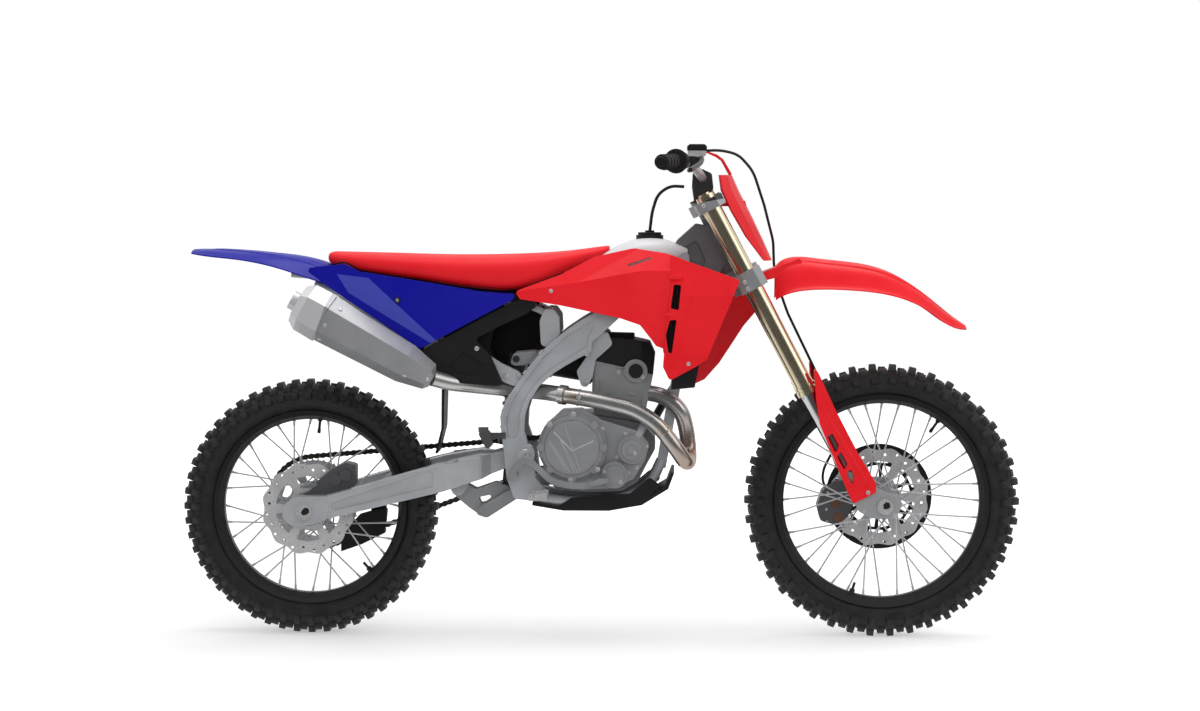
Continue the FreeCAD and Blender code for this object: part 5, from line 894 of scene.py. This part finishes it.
make_chain()

# Seat

seat_covers = ("side_panels", "shrouds", "rear_fender", "airbox")
seat_depth = 200
seam_rise = Vector((0, 0, 2.5 * millimetre))
seam_width = 5
seam_height = 1.6
seam_start = 60
seam_end = 680
seam_step = 20


def lowest_seen(along, side):
    """The lowest place of the seat that shows from one side, or none where it is hidden."""
    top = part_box("seat")[1].z
    seen = None
    for drop in range(seat_depth):
        start = spot(along, side * beyond_side, 0)
        start.z = top - drop * millimetre
        place, _, _, gap = skin_of("seat_cushion").ray_cast(start, to_left * -side)
        if place is None and seen is None:
            continue
        if place is None:
            break
        covers = [skin_of(cover).ray_cast(start, to_left * -side)[3] for cover in seat_covers]
        if any(cover is not None and cover < gap for cover in covers):
            break
        seen = place
    return seen


def make_seat():
    """The padded seat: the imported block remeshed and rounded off, with a seam above its lower edge."""
    seat = bpy.data.objects.new("seat_cushion", nodes["seat"].data.copy())
    bpy.context.scene.collection.objects.link(seat)
    remesh = seat.modifiers.new("even faces", "REMESH")
    remesh.mode = "VOXEL"
    remesh.voxel_size = 4.5 * millimetre
    relax = seat.modifiers.new("rounded edges", "SMOOTH")
    relax.iterations = 14
    relax.factor = 0.6
    swell = seat.modifiers.new("padding", "DISPLACE")
    swell.strength = 1.2 * millimetre
    swell.mid_level = 0
    settle(seat)
    smooth(seat.data, sharp=80)
    hand_over(seat, "chassis", "seat_vinyl", ["seat"])
    shape = Shape()
    for side in both_sides:
        edge = [lowest_seen(along, side) for along in range(seam_start, seam_end, seam_step)]
        points = [place + seam_rise for place in edge if place]
        strip(shape, "seat_cushion", points, None, seam_width, seam_height)
    shape.piece("seat_edge_seams", "chassis", "black_plastic", "seat_cover")


make_seat()

# Millimetres ahead of the rear axle, half width, and height above the ground.
seat_base_rows = [(80, 56, 958), (112, 82, 950), (144, 104, 938), (230, 116, 926), (330, 122, 912)]
seat_base_thickness = 5


def make_seat_base():
    """The dark base that closes the bike between the seat and its side panels."""
    shape = Shape()
    rings = []
    for along, half, above in seat_base_rows:
        below = above - seat_base_thickness
        rings.append([spot(along, -half, above), spot(along, half, above), spot(along, half, below),
                      spot(along, -half, below)])
    shape.skin(rings)
    shape.piece("seat_base", "chassis", "black_plastic", "black_plastic", bevel=0.8)


make_seat_base()

# Bolts, screws and rivets

hanger_nodes = "frame_head frame_spars frame_cradle"
hanger_places = [(720, 738), (693, 716), (720, 662)]
pivot_nodes = "frame_spars swingarm"
pivot_places = [(565, 481)]
panel_screw_places = [(241, 873)]
shroud_screw_places = [(978, 719), (631, 898)]
fork_foot_places = [(1433, 390)]

# Piece, body, slot, nodes that it stands on, side (-1 right, 1 left), radius, kind, and places ahead of the
# rear axle and above the ground.
fastener_groups = [
    ("clutch_cover_bolts", "chassis", "cover_grey", "engine_covers", -1, 4.2, "hexagon",
     [(628, 562), (689, 588), (760, 547), (605, 482), (750, 448), (681, 420)]),
    ("pump_cover_bolts", "chassis", "cover_grey", "engine_covers", -1, 3.6, "hexagon",
     [(819, 534), (798, 474), (872, 503), (874, 458), (847, 450)]),
    ("filter_cover_bolts", "chassis", "cover_grey", "engine_covers", -1, 3.6, "hexagon",
     [(826, 436), (818, 404), (766, 440)]),
    ("left_cover_bolts", "chassis", "cover_grey", "engine_covers", 1, 3.8, "hexagon",
     [(716, 470), (730, 424), (780, 410), (826, 424), (848, 470), (842, 514), (806, 540), (744, 540),
      (708, 512)]),
    ("hanger_bolts", "chassis", "frame_silver", hanger_nodes, -1, 4.6, "hexagon", hanger_places),
    ("left_hanger_bolts", "chassis", "frame_silver", hanger_nodes, 1, 4.6, "hexagon", hanger_places),
    ("subframe_bolts", "chassis", "frame_silver", "subframe frame_spars airbox", -1, 5.0, "hexagon",
     [(515, 679), (548, 679)]),
    ("muffler_rivets", "chassis", "muffler_alloy", "muffler", -1, 4.8, "dome",
     [(104, 852), (66, 814), (48, 776), (322, 676), (308, 650)]),
    ("side_panel_washers", "chassis", "blue_plastic", "side_panels", -1, 7.0, "dome", panel_screw_places),
    ("front_caliper_bolts", "steering", "caliper_metal", "front_caliper", -1, 3.4, "dome",
     [(1343, 365), (1339, 322), (1341, 289)]),
    ("front_foot_bolts", "steering", "slider_chrome", "fork_sliders", -1, 3.6, "socket",
     [(1424, 342), (1500, 332)]),
    ("clamp_ring_bolts", "chassis", "header_steel", "exhaust_header", -1, 3.8, "hexagon", [(641, 655)]),
    ("shock_bolt", "chassis", "shock_steel", "rear_shock", -1, 8.0, "hexagon", [(548, 722)]),
    ("side_panel_screw", "chassis", "blue_plastic", "side_panels", -1, 4.2, "hexagon", panel_screw_places),
    ("left_side_panel_screw", "chassis", "blue_plastic", "side_panels", 1, 5.0, "socket", panel_screw_places),
    ("airbox_screw", "chassis", "black_plastic", "airbox", -1, 4.6, "socket", [(442, 751)]),
    ("shroud_screws", "chassis", "red_plastic", "shrouds", -1, 4.6, "dome", shroud_screw_places),
    ("left_shroud_screws", "chassis", "red_plastic", "shrouds", 1, 4.6, "dome", shroud_screw_places),
    ("fork_foot_bolts", "steering", "red_plastic", "fork_guards", -1, 4.2, "socket", fork_foot_places),
    ("left_fork_foot_bolts", "steering", "red_plastic", "fork_guards", 1, 4.2, "socket", fork_foot_places),
    ("lower_clamp_bolts", "steering", "clamp_alloy", "lower_clamp", -1, 4.0, "socket",
     [(1118, 921), (1126, 905)]),
    ("upper_clamp_bolt", "steering", "clamp_alloy", "upper_clamp", -1, 4.0, "socket", [(1014, 1112)]),
    ("cylinder_screws", "chassis", "engine_grey", "cylinder", -1, 4.4, "socket", [(800, 688), (862, 676)]),
    ("pivot_bolt", "chassis", "frame_silver", pivot_nodes, -1, 9.0, "hexagon", pivot_places),
    ("left_pivot_bolt", "chassis", "frame_silver", pivot_nodes, 1, 9.0, "hexagon", pivot_places),
]
slanting_nodes = ("muffler", "shrouds", "side_panels")
fastener_finishes = {"side_panel_washers": "black_plastic"}


def make_fasteners():
    """Every group of fasteners: square to the bike, or to the surface where that slants."""
    for name, body, slot, names, side, radius, kind, places in fastener_groups:
        shape = Shape()
        for along, above in places:
            place, outward = landed_from_side(names, side, along, above)
            if names not in slanting_nodes:
                outward = to_left * side
            bolt(shape, place, outward, radius, kind)
        shape.piece(name, body, fastener_finishes.get(name, "steel"), slot)


make_fasteners()

# Sheets of painted shade, louvres and small covers

# Dark sheets of painted shade in gaps of the bike, by outline and distance from the middle, and the louvres
# behind the vents.
vent_shade_panel = [(915, 742), (942, 735), (990, 925), (912, 925)]
vent_panel_inner = 138
vent_panel_outer = 142
louvre_count = 5
louvre_foot = (916, 144, 748)
louvre_pitch = 7
louvre_run = Vector((30, 0, 180)) * millimetre
louvre_radius = 2.4
seat_corner_shade_panel = [(519, 869), (519, 891), (563, 891), (563, 869)]
seat_corner_inner = 99
seat_corner_outer = 103
shock_shade_panel = [(440, 700), (560, 688), (600, 735), (604, 850), (500, 852), (446, 790)]
shock_panel_inner = 46
shock_panel_outer = 49


def make_shade_panels_and_louvres():
    """Dark sheets of painted shade behind the shroud's vents, under the seat's corner and beside the shock,
    and louvres behind the vents.
    """
    shape = Shape()
    along, across, above = louvre_foot
    for side in both_sides:
        panel(shape, vent_shade_panel, side * vent_panel_inner, side * vent_panel_outer)
        for step in range(louvre_count):
            foot = spot(along + louvre_pitch * step, side * across, above)
            bar(shape, foot, foot + louvre_run, louvre_radius)
        panel(shape, seat_corner_shade_panel, side * seat_corner_inner, side * seat_corner_outer)
    panel(shape, shock_shade_panel, shock_panel_inner, shock_panel_outer)
    shape.piece("shade_panels_and_louvres", "chassis", "black_plastic", "black_plastic", bevel=0.8)


make_shade_panels_and_louvres()

boot_profile = [(30, 0), (44, 3), (44, 18), (39, 23), (39, 98), (44, 103), (44, 122), (34, 128)]
boot_start = spot(612, 0, 714)
boot_end = spot(748, 0, 692)
boot_branch = [spot(655, -30, 735), spot(690, -62, 780), spot(760, -58, 796)]
boot_branch_radii = (8, 5)


def make_intake_boot():
    """The boot between the airbox and the engine, with its branch."""
    shape = Shape()
    shape.turned(boot_start, boot_end - boot_start, boot_profile, sides=40)
    for start, end, radius in zip(boot_branch, boot_branch[1:], boot_branch_radii):
        bar(shape, start, end, radius)
    shape.piece("intake_boot", "chassis", "black_rubber", "black_plastic")


make_intake_boot()

grip_end = (909, 410, 1221)
grip_end_profile = [(13.5, 0), (13.5, 5.8), (11.5, 7.4), (5, 7.6)]


def make_grip_ends():
    shape = Shape()
    along, across, above = grip_end
    for side in both_sides:
        shape.turned(spot(along, side * across, above), to_left * side, grip_end_profile, sides=28)
    shape.piece("grip_ends", "steering", "black_rubber", "grip_rubber")


make_grip_ends()

reservoir_outline = [
    (972.5, 1250), (972.5, 1261), (979, 1266.2), (1015, 1266.2), (1021.5, 1261), (1021.5, 1250),
]
reservoir_inner = -173.5
reservoir_outer = -221.5


def make_reservoir_cap():
    shape = Shape()
    panel(shape, reservoir_outline, reservoir_outer, reservoir_inner)
    shape.piece("reservoir_cap", "steering", "black_plastic", "lever_alloy", bevel=1)


make_reservoir_cap()

piston_places = [(1364, 337), (1372, 301)]
piston_profile = [(13.5, -1), (13.5, 1.0), (12.5, 1.8), (7.5, 1.8), (6.5, 0.8)]


def make_piston_caps():
    """The round bronze covers on the front caliper."""
    shape = Shape()
    for along, above in piston_places:
        place, _ = landed_from_side("front_caliper", right_side, along, above)
        shape.turned(place, to_left * right_side, piston_profile, sides=28)
    shape.piece("piston_caps", "steering", "bronze", "caliper_metal")


make_piston_caps()

# Dark hexagons on the axles' ends: painted shade where their sockets are hollow.
axle_socket_shades = [
    ("front_axle_socket_shade", "steering", "front_axle", front_centre),
    ("rear_axle_socket_shade", "chassis", "rear_axle", rear_centre),
]
axle_socket_profile = [(9.5, -1), (9.5, 0.8), (8.5, 1.0)]


def make_axle_socket_shades():
    """Dark hexagons on the ends of the axles, painted shade for their hollow hexagon sockets."""
    for name, body, node, centre in axle_socket_shades:
        shape = Shape()
        start = centre + to_left * (right_side * beyond_side * millimetre)
        place, _ = landed(node, start, to_left * -right_side)
        shape.turned(place, to_left * right_side, axle_socket_profile, sides=6)
        shape.piece(name, body, "black_metal", "axle_steel")


make_axle_socket_shades()

upper_shield = [(86, 880), (116, 918), (200, 874), (330, 790), (330, 752), (284, 752)]
upper_shield_inner = -96
upper_shield_outer = -100


def make_muffler_shield():
    shape = Shape()
    panel(shape, upper_shield, upper_shield_outer, upper_shield_inner)
    shape.piece("muffler_upper_shield", "chassis", "muffler_alloy", "muffler_alloy", bevel=1)


make_muffler_shield()

# Ridges, weld beads and lines

clutch_centre = (685, 503)
clutch_face_radius = 66
clutch_line_height = 0.9

# Two ends as shares of the face's radius from its centre, and a width in millimetres.
clutch_lines_shares = [
    ((-0.70, 0.60), (0.0, -0.12), 3.2), ((0.0, -0.12), (0.84, 0.27), 3.2),
    ((-0.27, 0.84), (0.30, -0.86), 2.0), ((-0.50, 0.40), (0.08, -0.93), 1.8),
    ((-0.45, 0.33), (0.19, -0.91), 1.8), ((-0.88, 0.20), (-0.22, -0.88), 1.8),
    ((-0.88, 0.30), (-0.10, -0.92), 1.8),
]


def make_clutch_lines():
    """The fine lines on the face of the clutch cover."""
    shape = Shape()
    along, above = clutch_centre
    for first, second, width in clutch_lines_shares:
        pairs = [(along + clutch_face_radius * a, above + clutch_face_radius * b) for a, b in (first, second)]
        side_strip(shape, "engine_covers", pairs, right_side, width, clutch_line_height)
    shape.piece("clutch_cover_lines", "chassis", "bright_alloy", "cover_grey")


make_clutch_lines()

pad_width = 10
rib_width = 4
rib_height = 1.6
cylinder_lines = [
    ([(764, 635), (782, 634)], pad_width), ([(825, 631), (843, 630)], pad_width),
    ([(752, 600), (752, 668)], rib_width), ([(858, 596), (866, 660)], rib_width),
    ([(756, 704), (792, 712)], rib_width),
]


def make_cylinder_ribs():
    """Small raised pads and ribs on the cylinder's sides."""
    shape = Shape()
    for side in both_sides:
        for pairs, width in cylinder_lines:
            side_strip(shape, "cylinder", pairs, side, width, rib_height)
    shape.piece("cylinder_ribs", "chassis", "cylinder_grey", "engine_grey")


make_cylinder_ribs()

weld_width = 6
weld_height = 1.1
weld_step = 2.2
weld_ripple = 0.35
weld_lines = [
    ("frame_welds", "frame_spars", "frame_silver", [
        [(542, 640), (520, 600), (513, 560)],
        [(600, 712), (625, 735), (650, 742)],
        [(552, 690), (575, 722), (604, 760)],
    ]),
    ("swingarm_welds", "swingarm", "swingarm_silver", [
        [(56, 378), (66, 352), (60, 308)],
        [(432, 500), (450, 470), (446, 420)],
        [(120, 398), (260, 432), (420, 472)],
    ]),
]


def make_welds():
    """Weld beads on the frame and along the swingarm."""
    for name, node, slot, lines in weld_lines:
        shape = Shape()
        for pairs in lines:
            for side in both_sides:
                side_strip(shape, node, pairs, side, weld_width, weld_height, step=weld_step,
                           ripple=weld_ripple)
        shape.piece(name, "chassis", slot, slot)


make_welds()

# A place on the middle of the header and the way that the tube runs there.
header_rings = [
    (spot(700, -106, 626), Vector((61, -7, -10))),
    (spot(918, -112, 540), Vector((46, 6, -60))),
]
header_ring_profile = [(19.5, -2.5), (21.8, -1.7), (22.2, 0), (21.8, 1.7), (19.5, 2.5)]


def make_header_rings():
    """Weld rings round the exhaust header."""
    shape = Shape()
    for centre, ahead in header_rings:
        shape.turned(centre, ahead, header_ring_profile, sides=40)
    shape.piece("header_weld_rings", "chassis", "header_steel", "header_steel")


make_header_rings()

guard_ridge = [(1318, 600), (1436, 404)]
guard_ridge_width = 9
guard_ridge_height = 2.2
guard_step = [(1364, 386), (1436, 420)]
guard_step_width = 5
guard_step_height = 1.6


def make_guard_ridges():
    """Raised ridges down the fork guards."""
    shape = Shape()
    for side in both_sides:
        side_strip(shape, "fork_guards", guard_ridge, side, guard_ridge_width, guard_ridge_height, taper=True)
        side_strip(shape, "fork_guards", guard_step, side, guard_step_width, guard_step_height)
    shape.piece("fork_guard_ridges", "steering", "red_plastic", "red_plastic")


make_guard_ridges()

# Fender, body, finish, width, height and places ahead of the rear axle and left of the middle.
fender_ridges = [
    ("front_fender", "steering", "red_plastic", 17, 3.2,
     [(1240, 30), (1340, 34), (1450, 34), (1560, 27), (1650, 16)]),
    ("rear_fender", "chassis", "blue_plastic", 15, 2.6,
     [(-250, 16), (-150, 30), (-50, 42), (40, 52)]),
]


def make_fender_ridges():
    """Raised ridges along the tops of the fenders."""
    for fender, body, plastic, width, height, pairs in fender_ridges:
        shape = Shape()
        for side in both_sides:
            points = [spot(along, across * side, above_bike) for along, across in pairs]
            strip(shape, fender, points, downward, width, height, taper=True)
        shape.piece(fender + "_ridges", body, plastic, plastic)


make_fender_ridges()

# Camera, light and floor

image_width = 1200
sensor_width = 36.0
focal_pixels = 2368.5
camera_place = Vector((0.5016, -6.0933, 0.2049))
camera_yaw = -0.0330
camera_pitch = 0.0761
camera_roll = 0.0008


def make_camera():
    """The photograph's own view."""
    level = math.cos(camera_pitch)
    ahead = Vector((math.sin(camera_yaw) * level, math.cos(camera_yaw) * level, -math.sin(camera_pitch)))
    right = Vector((math.cos(camera_yaw), -math.sin(camera_yaw), 0))
    above = right.cross(ahead)
    rolled_right = right * math.cos(camera_roll) + above * math.sin(camera_roll)
    rolled_above = above * math.cos(camera_roll) - right * math.sin(camera_roll)
    data = bpy.data.cameras.new("camera")
    data.sensor_width = sensor_width
    data.lens = focal_pixels * sensor_width / image_width
    camera = bpy.data.objects.new("camera", data)
    turn = Matrix((rolled_right, rolled_above, -ahead)).transposed().to_4x4()
    camera.matrix_world = Matrix.Translation(camera_place) @ turn
    bpy.context.scene.collection.objects.link(camera)
    bpy.context.scene.camera = camera


bike_middle = Vector((0.5, 0, -0.4))

# Lamp, place, width and height in metres, power in watts, and whether glossy surfaces mirror it.
lamps = [
    ("above", (0.4, 0.2, 3.0), 4.0, 1.8, 66, True),
    ("right side", (0.9, -5.0, 1.4), 4.0, 3.0, 72, False),
    ("left side", (0.2, 5.0, 1.4), 4.0, 3.0, 50, False),
    ("front", (3.6, -1.4, 1.2), 1.6, 2.4, 12, True),
]


def make_lamps():
    """Large soft boxes that point at the bike."""
    for name, place, width, height, power, mirrored in lamps:
        data = bpy.data.lights.new(name, "AREA")
        data.shape = "RECTANGLE"
        data.size = width
        data.size_y = height
        data.energy = power
        lamp = bpy.data.objects.new(name, data)
        lamp.location = place
        lamp.rotation_euler = (bike_middle - Vector(place)).to_track_quat("-Z", "Y").to_euler()
        lamp.visible_glossy = mirrored
        bpy.context.scene.collection.objects.link(lamp)


plain_light = 0.46
dark_side_light = 0.08


def make_world():
    """A white studio, white in reflections too but for the open side on the bike's right."""
    world = bpy.data.worlds.new("studio")
    world.use_nodes = True
    tree = ShaderTree(world.node_tree)
    bpy.context.scene.world = world
    direction = tree.node("ShaderNodeTexCoord", {}, {}, "Generated")
    across = tree.node("ShaderNodeSeparateXYZ", {}, {"Vector": direction}, "Y")
    above = tree.node("ShaderNodeSeparateXYZ", {}, {"Vector": direction}, "Z")
    facing = tree.spread(across, dark_side_light, 1.0, start=-0.80, end=-0.50)
    level = tree.spread(above, 0.70, 1.0, start=-0.2, end=0.9)
    seen = tree.node("ShaderNodeLightPath", {}, {}, "Is Camera Ray")
    glossy = tree.node("ShaderNodeLightPath", {}, {}, "Is Glossy Ray")
    through = tree.node("ShaderNodeLightPath", {}, {}, "Is Transmission Ray")
    plain = 1 - seen - glossy - through
    strength = seen + through + glossy * facing * level + plain * plain_light
    shader = tree.node("ShaderNodeBackground", {}, {"Color": colour(1.0), "Strength": strength})
    tree.finish("ShaderNodeOutputWorld", shader)


floor_reach = 60
floor_grey = 0.8
glow_under_bike = 0.37
glow_far_off = 0.68


def make_floor():
    """A pale floor that keeps the bike's soft shadow and is white out to the horizon."""
    corners = [(a * floor_reach, b * floor_reach, ground) for a, b in square_corners]
    mesh = bpy.data.meshes.new("floor")
    mesh.from_pydata(corners, [], [(0, 1, 2, 3)])
    floor = bpy.data.objects.new("floor", mesh)
    bpy.context.scene.collection.objects.link(floor)
    finish = Finish("floor")
    seen = finish.node("ShaderNodeLightPath", {}, {}, "Is Camera Ray")
    glossy = finish.node("ShaderNodeLightPath", {}, {}, "Is Glossy Ray")
    own_glow = finish.spread(finish.distance((0, 0, 0)), glow_under_bike, glow_far_off, start=1.0, end=3.4)
    open_side = finish.spread(finish.coordinate("Y"), dark_side_light, 0.9, start=-1.6, end=-0.5)
    matte = finish.node("ShaderNodeBsdfDiffuse", {}, {"Color": colour(floor_grey)})
    glow = finish.node("ShaderNodeEmission", {}, {"Color": seen * own_glow})
    both = finish.node("ShaderNodeAddShader", {}, {0: matte, 1: glow})
    mirrored = finish.node("ShaderNodeEmission", {}, {"Color": open_side})
    chosen = finish.node("ShaderNodeMixShader", {}, {0: glossy, 1: both, 2: mirrored})
    finish.finish("ShaderNodeOutputMaterial", chosen)
    mesh.materials.append(finish.material)


make_camera()
make_world()
make_floor()
make_lamps()
bpy.context.scene.view_settings.view_transform = "Standard"
